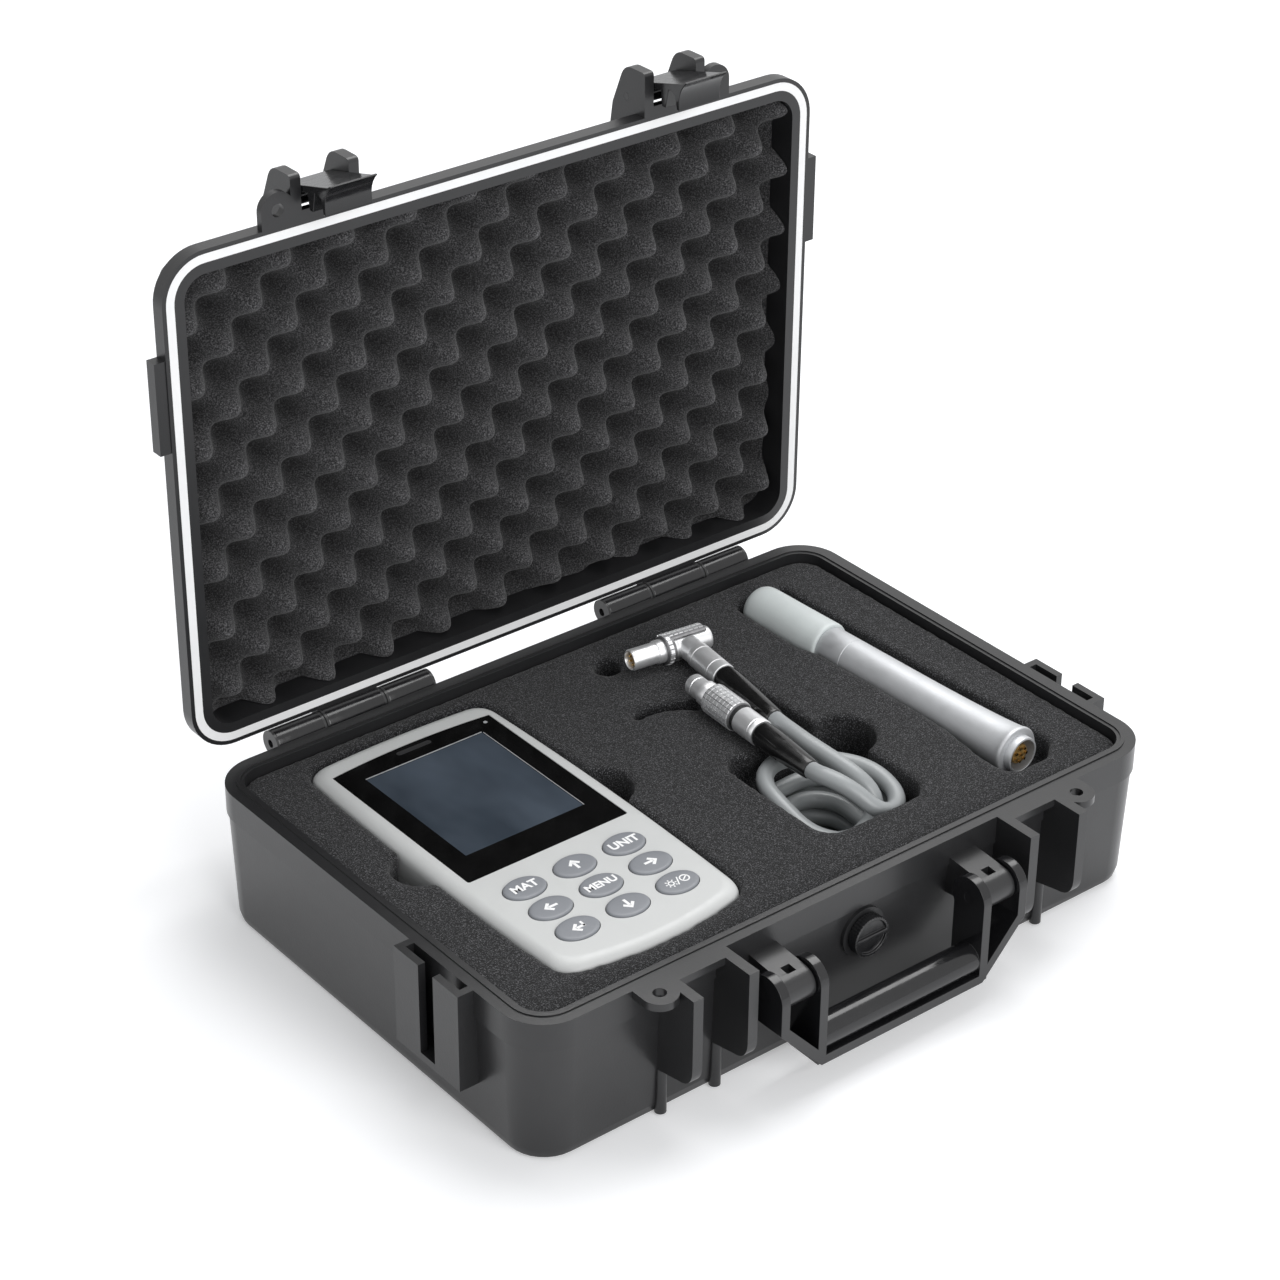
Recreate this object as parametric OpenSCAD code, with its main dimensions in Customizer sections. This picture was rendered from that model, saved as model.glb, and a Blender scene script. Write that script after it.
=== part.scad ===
// Hand-held hardness tester stored with its probe and cable in an open carrying case.
// Frame: X along the case, Y from the front with the handle to the hinge, Z up.
// The origin is the middle of the base's underside, and the lid stands open at a right angle.

/* [Case] */
// Length of the case over its rim
case_l = 294; // [284:1:320]
// Width of the case over its rim, front to back
case_w = 200; // [192:1:220]
// Height of the base up to its rim
base_h = 60.5; // [58:0.5:72]
// Thickness of the moulded walls
wall = 3; // [2:0.25:3.5]
// Radius of the rim's corners
corner_r = 18; // [15:0.5:22]
// Height of the thick band below the rim
band_h = 11.5; // [9:0.5:14]
// Step from the band in to the wall below it
band_step = 0.75; // [0.5:0.05:1.5]
// How far the walls lean in between the band and the floor
wall_lean = 1.5; // [0.5:0.25:2.5]
// Rounding of the edge round the floor
floor_edge = 5; // [3:0.5:7]
// Width of the rim's top land
rim_w = 7.2; // [6:0.2:8]
// Height of the sealing rib above the land
rib_h = 0.5; // [0.3:0.1:1]
// Width of the sealing rib
rib_w = 1.4; // [1:0.1:2]

/* [Lid] */
// Depth of the lid from its rim to its top panel
lid_depth = 28; // [26:1:36]
// Height of the lid's upright rim band
lid_band = 6; // [4:0.5:8]
// How far the lid's sides slope in to its top panel
lid_slope = 14.5; // [12:0.5:18]
// Width of the lid's rim face
lid_rim_w = 9; // [8:0.2:10]
// Width of the white gasket
gasket_w = 3.4; // [2.5:0.1:4.5]
// Depth of the gasket in its groove
gasket_t = 2.5; // [1.5:0.1:4]
// Distance of the gasket from the lid's edge
gasket_in = 1.6; // [1:0.1:2.2]
// Gap between the sealing rib and the closed lid's rim plane
seal_gap = 0.4; // [0.3:0.1:0.8]

/* [Hinges] */
// Distance of each hinge's middle from the case's end
hinge_in = 68; // [60:1:76]
// Radius of the hinge knuckles
hinge_r = 5.2; // [4.5:0.1:5.2]
// Distance of the hinge axis behind the rim
hinge_out = 5; // [5:0.1:6]
// Distance of the hinge axis below the rim
hinge_drop = 1.3; // [1:0.1:1.6]
// Length of the lid's knuckle
lid_knuckle_l = 27.2; // [20:0.2:34]
// Length of each of the base's knuckles
base_knuckle_l = 22.4; // [16:0.2:26]
// Radius of the hinge pins
hinge_pin_r = 1.6; // [1.2:0.1:2]

/* [Latches] */
// Distance of each latch's middle from the case's end
latch_in = 68.4; // [60:0.2:72]
// Space between the two fins of a latch bay
bay_gap = 20.2; // [17:0.2:24]
// Thickness of the fins and of the lid's cheeks
fin_t = 4.3; // [3:0.1:5]
// How far the fins stand out from the rim
fin_out = 17.6; // [16:0.2:20]
// Height of the base's fins
fin_h = 40.3; // [36:0.5:44]
// Height of the lid's cheeks
cheek_h = 21.5; // [20:0.5:23]
// How far the catch ledge stands out from the rim
ledge_out = 4.8; // [4:0.1:5]
// Thickness of the ledges and padlock tabs
ledge_t = 3; // [2:0.1:4]
// Distance of the latch pin above the lid's rim plane
latch_pin_up = 11; // [10:0.2:12]
// Distance of the latch pin in front of the rim
latch_pin_out = 5.3; // [5.2:0.1:6]
// Radius of the latch pins
latch_pin_r = 1.5; // [1:0.1:1.8]
// How far the latch reaches below the lid's rim plane
latch_reach = 18.6; // [17:0.2:22]
// Thickness of the latch's outer plate
latch_plate = 2.6; // [2:0.1:3.5]
// Distance of the padlock hole from the latch's middle
padlock_dx = 19.9; // [19.5:0.1:22]
// Radius of the padlock holes
padlock_r = 2.5; // [2:0.1:3]

/* [Handle] */
// Distance of each handle bracket's middle from the case's middle
bracket_x = 47.5; // [44:0.5:50]
// Width of each bracket
bracket_w = 12.6; // [10:0.2:14]
// Distance of the handle's axis in front of the rim
handle_out = 15; // [13:0.5:17]
// Distance of the handle's axis below the rim
handle_down = 15.7; // [14:0.1:18]
// Radius of the handle's ears
ear_r = 8.3; // [7:0.1:9]
// Thickness of the handle's plates
handle_t = 3.8; // [3:0.1:4.5]
// Height of the handle from its axis to its lower edge
handle_h = 33.8; // [31:0.2:38]
// Radius of the round grip
grip_r = 6; // [5:0.1:7]
// Radius of the handle's pins
handle_pin_r = 2; // [1.5:0.1:2.5]

/* [Side rails and valve] */
// Middle of the strap rails along the case's width
rail_y = -48.1; // [-56:0.5:-40]
// Span of the pair of strap rails
rail_span = 37.2; // [32:0.2:42]
// Width of the slot between the rails
rail_slot = 8.5; // [6:0.5:12]
// How far the rails stand out from the rim
rail_out = 6.5; // [5.5:0.1:8]
// Thickness of the rails
rail_t = 3; // [2:0.1:3]
// Height of the rails
rail_h = 40.2; // [34:0.2:44]
// Distance of the valve's middle below the rim
valve_down = 22.3; // [20:0.5:25]
// Radius of the valve's knob
valve_r = 8.2; // [7:0.1:9.5]
// Thickness of the valve's knob
valve_t = 4.2; // [3:0.1:5]

/* [Foam] */
// Distance of the foam's top below the rim
foam_down = 3.5; // [2:0.5:5]
// Period of the egg-crate foam in the lid
crate_pitch = 25.5; // [20:0.5:32]
// Depth from the egg-crate's peaks to its valleys
crate_depth = 9.4; // [6:0.2:10]
// Distance of the peaks behind the lid's rim plane
crate_in = 1.6; // [1:0.1:2.2]
// Radius of the finger cut-outs beside the gauge
notch_r = 11.5; // [8:0.5:12]
// Depth of the finger cut-outs
notch_depth = 26; // [15:1:30]

/* [Gauge] */
// Distance of the gauge's middle from the case's left end
gauge_in = 73; // [70:0.5:78]
// Width of the gauge between its corners
gauge_w = 82; // [78:0.5:84]
// Length of the gauge between its corners
gauge_l = 156.6; // [150:0.2:160]
// Thickness of the gauge
gauge_t = 28; // [25:0.5:32]
// How far the gauge stands above the foam
gauge_up = 1.5; // [0.5:0.5:3]
// Wall of the gauge's shells
shell_t = 2.4; // [1.8:0.1:2.8]
// Width of the black window
window_w = 71.6; // [66:0.2:73]
// Distance from the keypad to the window
window_gap = 8.8; // [6:0.2:12]
// Distance from the window to the gauge's far end
window_end = 8.4; // [6:0.2:10]
// Width of the display
lcd_w = 53; // [46:0.5:58]
// Border between the display and the window's short sides
lcd_border = 12.6; // [9:0.2:15]

/* [Keys] */
// Width of a key
key_w = 17.1; // [14:0.1:18.5]
// Depth of a key
key_d = 12.4; // [10:0.1:12.8]
// Distance between the key columns
key_dx = 22.3; // [21.8:0.1:23.5]
// Distance between the key rows
key_dy = 15.2; // [15:0.1:16]
// Distance of the keypad's middle from the gauge's near end
keypad_in = 30.7; // [29:0.1:34]
// How far a key stands above the gauge's face
key_up = 0.9; // [0.9:0.1:1.6]
// Travel of a key
key_travel = 0.8; // [0.4:0.1:0.8]

/* [Probe] */
// Distance of the probe's rear end from the case's right end
probe_in = 47; // [45:0.5:49]
// Length of the probe with its cap
probe_l = 148.5; // [145:0.5:151]
// Radius of the probe's tube
tube_r = 8.4; // [7.5:0.1:9]
// Radius of the probe's flared end
flare_r = 10.2; // [9.5:0.1:11]
// Radius of the rubber cap
cap_r = 9.7; // [9.3:0.1:10.4]
// Length of the rubber cap
cap_l = 43.5; // [38:0.5:48]
// Angle at which the probe lies in its pocket
probe_skew = 2.45; // [1.5:0.05:3]

/* [Cable] */
// Diameter of the cable
cable_d = 6.8; // [6:0.1:7.2]
// Radius of the plugs' knurled sleeves
sleeve_r = 6.3; // [6:0.1:6.8]
// Radius of the plugs' noses
nose_r = 4.3; // [4:0.1:4.6]
// Travel of the plugs' release sleeves
sleeve_travel = 1.5; // [0.5:0.1:1.5]

/* [Fits] */
// Gap between pieces that move past each other
gap = 0.3; // [0.3:0.05:0.5]
// Radial clearance of pins in their bores
fit = 0.05; // [0.02:0.01:0.1]

/* [Hidden] */
$fn = 48;
skin = 0.01;
front_y = -case_w / 2;
hinge_x = case_l / 2 - hinge_in;
latch_x = case_l / 2 - latch_in;
rear_y = case_w / 2;
lid_plane = base_h + rib_h + seal_gap;
hinge_y = rear_y + hinge_out;
hinge_z = base_h - hinge_drop;
hinge_span = lid_knuckle_l / 2 + gap + 0.1 + base_knuckle_l;
foam_top = base_h - foam_down;
floor_in = band_step + wall_lean;
embed = wall - 0.4;
fin_inner = latch_x - bay_gap / 2 - fin_t;
fin_outer = latch_x + bay_gap / 2 + fin_t;
padlock_x = latch_x + padlock_dx;
padlock_y = front_y - 6.3;
tab_r = 6.8;
latch_y = front_y - latch_pin_out;
latch_z = lid_plane + latch_pin_up;
latch_barrel_r = 4.3;
handle_y = front_y - handle_out;
handle_z = base_h - handle_down;
ear_gap = 0.6;
inner_ear_x = bracket_x - bracket_w / 2 - ear_gap;
outer_ear_x = bracket_x + bracket_w / 2 + ear_gap;
valve_z = base_h - valve_down;
valve_face_y = front_y - 0.5;
valve_stem_r = 3;
valve_stem_l = wall + 0.8;
gauge_x = -case_l / 2 + gauge_in;
gauge_top = foam_top + gauge_up;
gauge_floor = gauge_top - gauge_t;
gauge_part = gauge_floor + 15.5;
side_bow = 2;
top_bow = 1.8;
bottom_bow = 6;
gauge_round = 8;
face_edge = 5;
gauge_low = -gauge_l / 2 + 4.3;
gauge_high = gauge_low + gauge_l;
key_y = gauge_low + keypad_in;
window_low = key_y + key_dy + key_d / 2 + window_gap;
window_high = gauge_high - window_end;
window_l = window_high - window_low;
window_y = (window_high + window_low) / 2;
window_t = 1.1;
lcd_l = window_l - 2 * lcd_border;
lcd_y = window_y + 1.7;
board_top = gauge_top - shell_t - 4.6;
board_t = 1.6;
mat_t = 1;
key_rim = 1;
key_rim_t = 1.2;
board_w = gauge_w - 9;
board_in = 8;
board_low = gauge_low + board_in;
board_l = gauge_l - 2 * board_in;
post_r = 3.6;
post_x = board_w / 2 - 4;
post_in = 13;
screw_r = 1.3;
screw_head_r = 2.6;
battery_w = 54;
battery_l = 62;
battery_y = (gauge_low + gauge_high) / 2 + 6;
cell_r = 7.2;
cell_l = 50;
cover_lip = 3;
cover_lip_t = 1;
socket_z = gauge_floor + 9;
socket_r = 5.5;
socket_l = 14;
probe_rear = [case_l / 2 - probe_in, 77.5];
probe_floor = 44.8;
probe_z = probe_floor + flare_r + fit;
tube_start = 12;
collar_l = 3.2;
collar_r = flare_r - 2.8;
bore_l = 8;
insulator_r = 4;
pocket_floor = 9;
coil_x = [12.6, 60.6];
coil_y = [-66.8, -12];
coil_top = 56;
coil_r = 20;
plug_z = foam_top + sleeve_r + 0.1;
elbow_at = [48.9, 60.5, plug_z];
elbow_turn = -7.2;
elbow_leg_l = 29;
elbow_r = 4.9;
elbow_boot_l = 35.5;
straight_at = [32.7, 35.3, plug_z];
straight_turn = -3.3;
straight_len = 43.5;
straight_boot_l = 30.3;
sleeve_low = -8.8;
sleeve_high = 10.5;
coil_pocket = [36.2, -39];
coil_pocket_size = [50.6, 58];
coil_pocket_r = 9;
finger_hole = [61.2, -20];
finger_hole_r = 12.7;
side_hole = [17, -13];
side_hole_r = 6;
lead_slot = [46.5, 10];
lead_slot_size = [21, 60];
lead_slot_r = 6;
lead_slot_depth = 8;
plug_hole = [20.6, 73.4];
plug_hole_r = 5.5;
plug_hole_depth = 25;
slit_middle = [11, 14];
slit_r = 26.6;
slit_w = 4;
slit_depth = 12;
slit_reach = 40;
elbow_route = [[40.8, -3.6, 63.4], [40.3, -8, 63.4], [40.2, -14, 63.2], [40.5, -22, 62.5],
               [41.6, -33, 61.2], [43.4, -44, 59.2], [44.8, -50.5, 56.6], [45, -54.5, 52.5]];
straight_route = [[28.4, -38.7, 63.4], [28.3, -41.6, 63.5], [29.4, -46.6, 63.8], [32, -52, 62.8],
                  [35.6, -57.2, 59.4], [38.6, -61, 54]];

case_black = [0.16, 0.16, 0.17];
foam_black = [0.13, 0.13, 0.14];
steel = [0.75, 0.76, 0.78];
pale_grey = [0.84, 0.85, 0.86];
key_grey = [0.55, 0.56, 0.59];
cable_grey = [0.6, 0.62, 0.63];

// Shared shapes

// Points on a quadratic curve from a to c, pulled towards b
function bend(a, b, c, n) =
    [for (i = [0:n]) let (t = i / n) (1 - t) * (1 - t) * a + 2 * t * (1 - t) * b + t * t * c];

// Rounded rectangle
module rounded(l, w, r) {
    square([l - 2 * r, w], center = true);
    square([l, w - 2 * r], center = true);
    for (sx = [-1, 1], sy = [-1, 1])
        translate([sx * (l / 2 - r), sy * (w / 2 - r)]) circle(r = r);
}

// Upright slab with the rim's outline, set in by a distance
module slab(inset, h) {
    linear_extrude(h) rounded(case_l - 2 * inset, case_w - 2 * inset, max(corner_r - inset, 3));
}

// Smooth body through rim outlines given as [height, inset]
module lofted(levels) {
    hull() for (v = levels) {
        r = max(corner_r - v[1], 3);
        for (sx = [-1, 1], sy = [-1, 1])
            translate([sx * (case_l / 2 - v[1] - r), sy * (case_w / 2 - v[1] - r), v[0]])
                cylinder(r = r, h = skin, $fn = 32);
    }
}

// Sideways extrusion of a profile drawn in Y and Z, from x0 to x1
module across(x0, x1) {
    translate([x0, 0, 0]) rotate([90, 0, 90]) linear_extrude(x1 - x0) children();
}

// Extrusion of a profile drawn in X and Z, from y0 to y1
module frontal(y0, y1) {
    translate([0, y1, 0]) rotate([90, 0, 0]) linear_extrude(y1 - y0) children();
}

// Round rod along X
module rod_x(x0, x1, y, z, r) {
    translate([x0, y, z]) rotate([0, 90, 0]) cylinder(r = r, h = x1 - x0);
}

// A thing and its mirror image across the case's middle
module both() {
    children();
    mirror([1, 0, 0]) children();
}

// Turns a lid drawn closed to its open place
module opened() {
    translate([0, hinge_y, hinge_z]) rotate([-90, 0, 0]) translate([0, -hinge_y, -hinge_z]) children();
}

// Case base

module fin_profile() {
    foot = base_h - fin_h;
    tip = front_y - fin_out;
    round = 8;
    polygon(concat([[front_y + embed, foot]],
                   bend([tip + round, foot + 2.5], [tip, foot + 3], [tip, foot + 3 + round], 6),
                   [[tip, base_h], [front_y + embed, base_h]]));
}

// Padlock tab with its lower face at z
module padlock_tab(z) {
    translate([0, 0, z]) linear_extrude(ledge_t) {
        translate([padlock_x, padlock_y]) circle(r = tab_r);
        translate([fin_outer - fin_t / 2, padlock_y]) square([padlock_x - fin_outer + fin_t / 2, tab_r * 0.7]);
        translate([padlock_x - tab_r, padlock_y]) square([2 * tab_r, front_y + embed - padlock_y]);
    }
}

module latch_bay() {
    for (x = [fin_inner, fin_outer - fin_t]) across(x, x + fin_t) fin_profile();
    across(fin_inner + fin_t / 2, fin_outer - fin_t / 2)
        translate([front_y - ledge_out, base_h - ledge_t]) square([ledge_out + embed, ledge_t]);
    padlock_tab(base_h - ledge_t);
    for (x = [fin_inner + fin_t / 2, fin_outer - fin_t / 2])
        translate([x, front_y + floor_in - 0.4, 1]) cylinder(r = 2.2, h = base_h - fin_h + 2);
}

module handle_bracket() {
    r = ear_r - 2;
    x0 = bracket_x - bracket_w / 2;
    difference() {
        union() {
            rod_x(x0, x0 + bracket_w, handle_y, handle_z, r);
            across(x0, x0 + bracket_w)
                polygon([[front_y + embed, handle_z - r - 2], [handle_y, handle_z - r],
                         [handle_y, handle_z + r], [front_y + embed, handle_z + r + 1.5]]);
        }
        translate([bracket_x - 2, handle_y - 0.6, handle_z + r - 2.6]) cube([4, 4, 6]);
    }
}

// Pair of rails on the right end that a strap clip slides between
module strap_rails() {
    x0 = case_l / 2 - embed;
    x1 = case_l / 2 + rail_out;
    z0 = base_h - rail_h;
    translate([0, rail_y, z0]) {
        for (s = [-1, 1]) {
            y_leg = s > 0 ? rail_span / 2 - rail_t : -rail_span / 2;
            y_face = s > 0 ? rail_slot / 2 : -rail_span / 2;
            translate([x0, y_leg, 0]) cube([x1 - x0, rail_t, rail_h]);
            translate([x1 - rail_t, y_face, 0]) cube([rail_t, (rail_span - rail_slot) / 2, rail_h]);
        }
        translate([x0, -rail_span / 2, 0]) cube([x1 - x0, rail_span, rail_t]);
    }
}

module base_knuckles() {
    for (x = [hinge_x - hinge_span, hinge_x + hinge_span - base_knuckle_l]) {
        rod_x(x, x + base_knuckle_l, hinge_y, hinge_z, hinge_r);
        across(x, x + base_knuckle_l)
            polygon([[rear_y - embed, hinge_z - hinge_r - 5], [hinge_y, hinge_z - hinge_r],
                     [hinge_y, hinge_z + 1], [rear_y - embed, hinge_z + 1]]);
    }
}

module base_cavity() {
    lofted([[wall, floor_in + wall + floor_edge * 0.5], [floor_edge + wall, floor_in + wall],
            [base_h - band_h, band_step + wall]]);
    translate([0, 0, base_h - band_h - skin]) slab(rim_w, band_h + 2);
}

module base_shell() {
    color(case_black) difference() {
        union() {
            lofted([[0, floor_in + floor_edge * 0.75], [floor_edge * 0.3, floor_in + floor_edge * 0.2],
                    [floor_edge, floor_in], [base_h - band_h, band_step]]);
            translate([0, 0, base_h - band_h]) slab(0, band_h);
            translate([0, 0, base_h - skin]) difference() {
                slab(gasket_in + gasket_w / 2 + 1, rib_h + skin);
                translate([0, 0, -1]) slab(gasket_in + gasket_w / 2 + 1 + rib_w, rib_h + 2);
            }
            both() {
                latch_bay();
                handle_bracket();
                strap_rails();
                base_knuckles();
            }
            translate([0, front_y + embed, valve_z]) rotate([90, 0, 0])
                cylinder(r = valve_r + 1.6, h = front_y + embed - valve_face_y);
        }
        base_cavity();
        both() {
            translate([padlock_x, padlock_y, base_h - ledge_t - 1]) cylinder(r = padlock_r, h = ledge_t + 2);
            rod_x(inner_ear_x - 1, outer_ear_x + 1, handle_y, handle_z, handle_pin_r + fit);
            rod_x(hinge_x - lid_knuckle_l / 2 - gap, hinge_x + lid_knuckle_l / 2 + gap,
                  hinge_y, hinge_z, hinge_r + 0.5);
            rod_x(hinge_x - hinge_span - 1, hinge_x + hinge_span + 1, hinge_y, hinge_z, hinge_pin_r + fit);
        }
        translate([0, front_y + rim_w + 1, valve_z]) rotate([90, 0, 0])
            cylinder(r = valve_stem_r + fit, h = rim_w + 4);
        translate([0, valve_face_y + 1.4, valve_z]) rotate([90, 0, 0]) cylinder(r = 5.6, h = 3);
    }
}

module hinge_pin() {
    rod_x(hinge_x - hinge_span + 1, hinge_x + hinge_span - 1, hinge_y, hinge_z, hinge_pin_r);
}

module hinge_pin_right() color(steel) hinge_pin();
module hinge_pin_left() color(steel) mirror([1, 0, 0]) hinge_pin();

// Valve on the front wall

module valve_knob() {
    teeth = 40;
    color(case_black) translate([0, valve_face_y - gap, valve_z]) rotate([90, 0, 0]) difference() {
        union() {
            linear_extrude(valve_t) polygon([for (i = [0:2 * teeth - 1])
                (valve_r - (i % 2) * 0.5) * [cos(180 * i / teeth), sin(180 * i / teeth)]]);
            translate([0, 0, -valve_stem_l]) cylinder(r = valve_stem_r, h = valve_stem_l + 1);
        }
        translate([0, 0, valve_t - 1]) difference() {
            cylinder(r = valve_r - 1.4, h = 2);
            translate([-valve_r, -0.9, -1]) cube([2 * valve_r, 1.8, 4]);
        }
    }
}

module valve_seal() {
    color("black") translate([0, valve_face_y + 1.4, valve_z]) rotate([90, 0, 0]) difference() {
        cylinder(r = 5.5, h = 1.2);
        translate([0, 0, -1]) cylinder(r = valve_stem_r + gap, h = 4);
    }
}

// Handle

module handle() {
    y0 = handle_y - ear_r;
    y1 = handle_y + ear_r - 1.3;
    low = handle_z - handle_h;
    knee = handle_z - 12.4;
    side = outer_ear_x + handle_t;
    foot = side - 19.5;
    color(case_black) difference() {
        union() {
            frontal(y0, y1) difference() {
                polygon([[side, handle_z], [side, knee], [foot, low],
                         [-foot, low], [-side, knee], [-side, handle_z]]);
                polygon([[side - handle_t, handle_z + 1], [side - handle_t, knee + 1.6],
                         [foot - 1.6, low + handle_t], [-foot + 1.6, low + handle_t],
                         [-side + handle_t, knee + 1.6], [-side + handle_t, handle_z + 1]]);
            }
            both() {
                rod_x(side - handle_t, side, handle_y, handle_z, ear_r);
                rod_x(inner_ear_x - handle_t, inner_ear_x, handle_y, handle_z, ear_r);
                translate([inner_ear_x - handle_t, y0, low + 1])
                    cube([handle_t, y1 - y0, handle_z - low - 1]);
            }
            rod_x(-inner_ear_x + 1, inner_ear_x - 1, handle_y - 2, low + handle_t + grip_r - 0.8, grip_r);
        }
        both() rod_x(inner_ear_x - handle_t - 1, side + 1, handle_y, handle_z, handle_pin_r + fit);
    }
}

module handle_pin() rod_x(inner_ear_x - handle_t, outer_ear_x + handle_t, handle_y, handle_z, handle_pin_r);
module handle_pin_right() color(steel) handle_pin();
module handle_pin_left() color(steel) mirror([1, 0, 0]) handle_pin();

// Lid, drawn closed and then opened

module cheek_profile() {
    tip = front_y - fin_out;
    polygon(concat([[front_y + 3, lid_plane]],
                   bend([tip + 1.8, lid_plane], [tip, lid_plane], [tip, lid_plane + 1.8], 4),
                   bend([tip, lid_plane + 8.2], [tip, lid_plane + 12],
                        [tip + 4, lid_plane + 14], 5),
                   [[front_y - 1, lid_plane + cheek_h - 2.2], [front_y + lid_rim_w + 3.6, lid_plane + cheek_h]]));
}

module lid_knuckle() {
    x0 = hinge_x - lid_knuckle_l / 2;
    rod_x(x0, x0 + lid_knuckle_l, hinge_y, hinge_z, hinge_r);
    across(x0, x0 + lid_knuckle_l)
        polygon([[rear_y - 2, lid_plane], [hinge_y, hinge_z + 1.5],
                 [hinge_y, hinge_z + hinge_r], [rear_y - 2, lid_plane + lid_band]]);
}

module lid_fittings() {
    for (x = [fin_inner, fin_outer - fin_t]) across(x, x + fin_t) cheek_profile();
    across(fin_inner + fin_t / 2, fin_outer - fin_t / 2)
        translate([front_y - ledge_out + 1, lid_plane]) square([ledge_out + 2, ledge_t]);
    padlock_tab(lid_plane);
    translate([case_l / 2 - 3, rail_y + 4 - rail_span / 2, lid_plane + 0.5])
        cube([rail_out + 1, rail_span - 1.5, lid_band - 1]);
    lid_knuckle();
}

module lid_shell() {
    top = lid_plane + lid_depth;
    color(case_black) opened() difference() {
        union() {
            translate([0, 0, lid_plane]) slab(0, lid_band);
            lofted([[lid_plane + lid_band - 1, 0.2], [lid_plane + lid_band, 0.2],
                    [top - 3, lid_slope], [top - skin, lid_slope + 3.5]]);
            both() lid_fittings();
        }
        translate([0, 0, lid_plane - 1]) slab(lid_rim_w, crate_in + crate_depth + 2);
        lofted([[lid_plane + crate_in + crate_depth, lid_rim_w + 0.1],
                [lid_plane + crate_in + crate_depth + 1, lid_rim_w + 0.1],
                [top - wall, lid_rim_w + 9]]);
        translate([0, 0, lid_plane - 1]) difference() {
            slab(gasket_in, gasket_t + 1.1);
            translate([0, 0, -1]) slab(gasket_in + gasket_w, gasket_t + 4);
        }
        both() {
            translate([padlock_x, padlock_y, lid_plane - 1]) cylinder(r = padlock_r, h = ledge_t + 2);
            rod_x(fin_inner - 1, fin_outer + 1, latch_y, latch_z, latch_pin_r + fit);
            rod_x(hinge_x - lid_knuckle_l, hinge_x + lid_knuckle_l, hinge_y, hinge_z, hinge_pin_r + fit);
        }
    }
}

module lid_gasket() {
    color("white") opened() translate([0, 0, lid_plane]) difference() {
        slab(gasket_in + 0.05, gasket_t);
        translate([0, 0, -1]) slab(gasket_in + gasket_w - 0.05, gasket_t + 2);
    }
}

// Egg-crate foam: one closed surface of crate rows over a tapered back
module lid_foam() {
    inset = lid_rim_w + gap;
    l = case_l - 2 * inset;
    w = case_w - 2 * inset;
    r = corner_r - inset;
    back_z = lid_plane + lid_depth - wall - gap;
    side_z = lid_plane + crate_in + crate_depth + 1;
    shrink = [1 - 2 * 9.4 / l, 1 - 2 * 9.4 / w];
    nx = ceil(l / crate_pitch * 6);
    ny = ceil(w / crate_pitch * 6);
    row_y = [for (j = [0:ny]) -w / 2 + w * j / ny];
    half = [for (y = row_y) let (d = max(abs(y) - (w / 2 - r), 0)) l / 2 - r + sqrt(max(r * r - d * d, 0))];
    crate = [for (j = [0:ny], i = [0:nx])
        let (x = half[j] * (2 * i / nx - 1), y = row_y[j],
             wave = cos(360 * x / crate_pitch) * cos(360 * y / crate_pitch))
        [x, y, lid_plane + crate_in + crate_depth * (0.5 - 0.5 * wave)]];
    edge = concat([for (i = [0:nx]) i], [for (j = [1:ny]) j * (nx + 1) + nx],
                  [for (i = [nx - 1:-1:0]) ny * (nx + 1) + i], [for (j = [ny - 1:-1:1]) j * (nx + 1)]);
    n = len(edge);
    first = len(crate);
    waist = [for (k = edge) [crate[k][0], crate[k][1], side_z]];
    back = [for (k = edge) [crate[k][0] * shrink[0], crate[k][1] * shrink[1], back_z]];
    faces = concat(
        [for (j = [0:ny - 1], i = [0:nx - 1]) let (a = j * (nx + 1) + i) [a, a + 1, a + nx + 2]],
        [for (j = [0:ny - 1], i = [0:nx - 1]) let (a = j * (nx + 1) + i) [a, a + nx + 2, a + nx + 1]],
        [for (k = [0:n - 1]) let (m = (k + 1) % n) [edge[k], first + k, first + m]],
        [for (k = [0:n - 1]) let (m = (k + 1) % n) [edge[k], first + m, edge[m]]],
        [for (k = [0:n - 1]) let (m = (k + 1) % n) [first + k, first + n + k, first + n + m]],
        [for (k = [0:n - 1]) let (m = (k + 1) % n) [first + k, first + n + m, first + m]],
        [[for (k = [n - 1:-1:0]) first + n + k]]);
    color(foam_black) opened() polyhedron(concat(crate, waist, back), faces, convexity = 6);
}

// Latches

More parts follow.
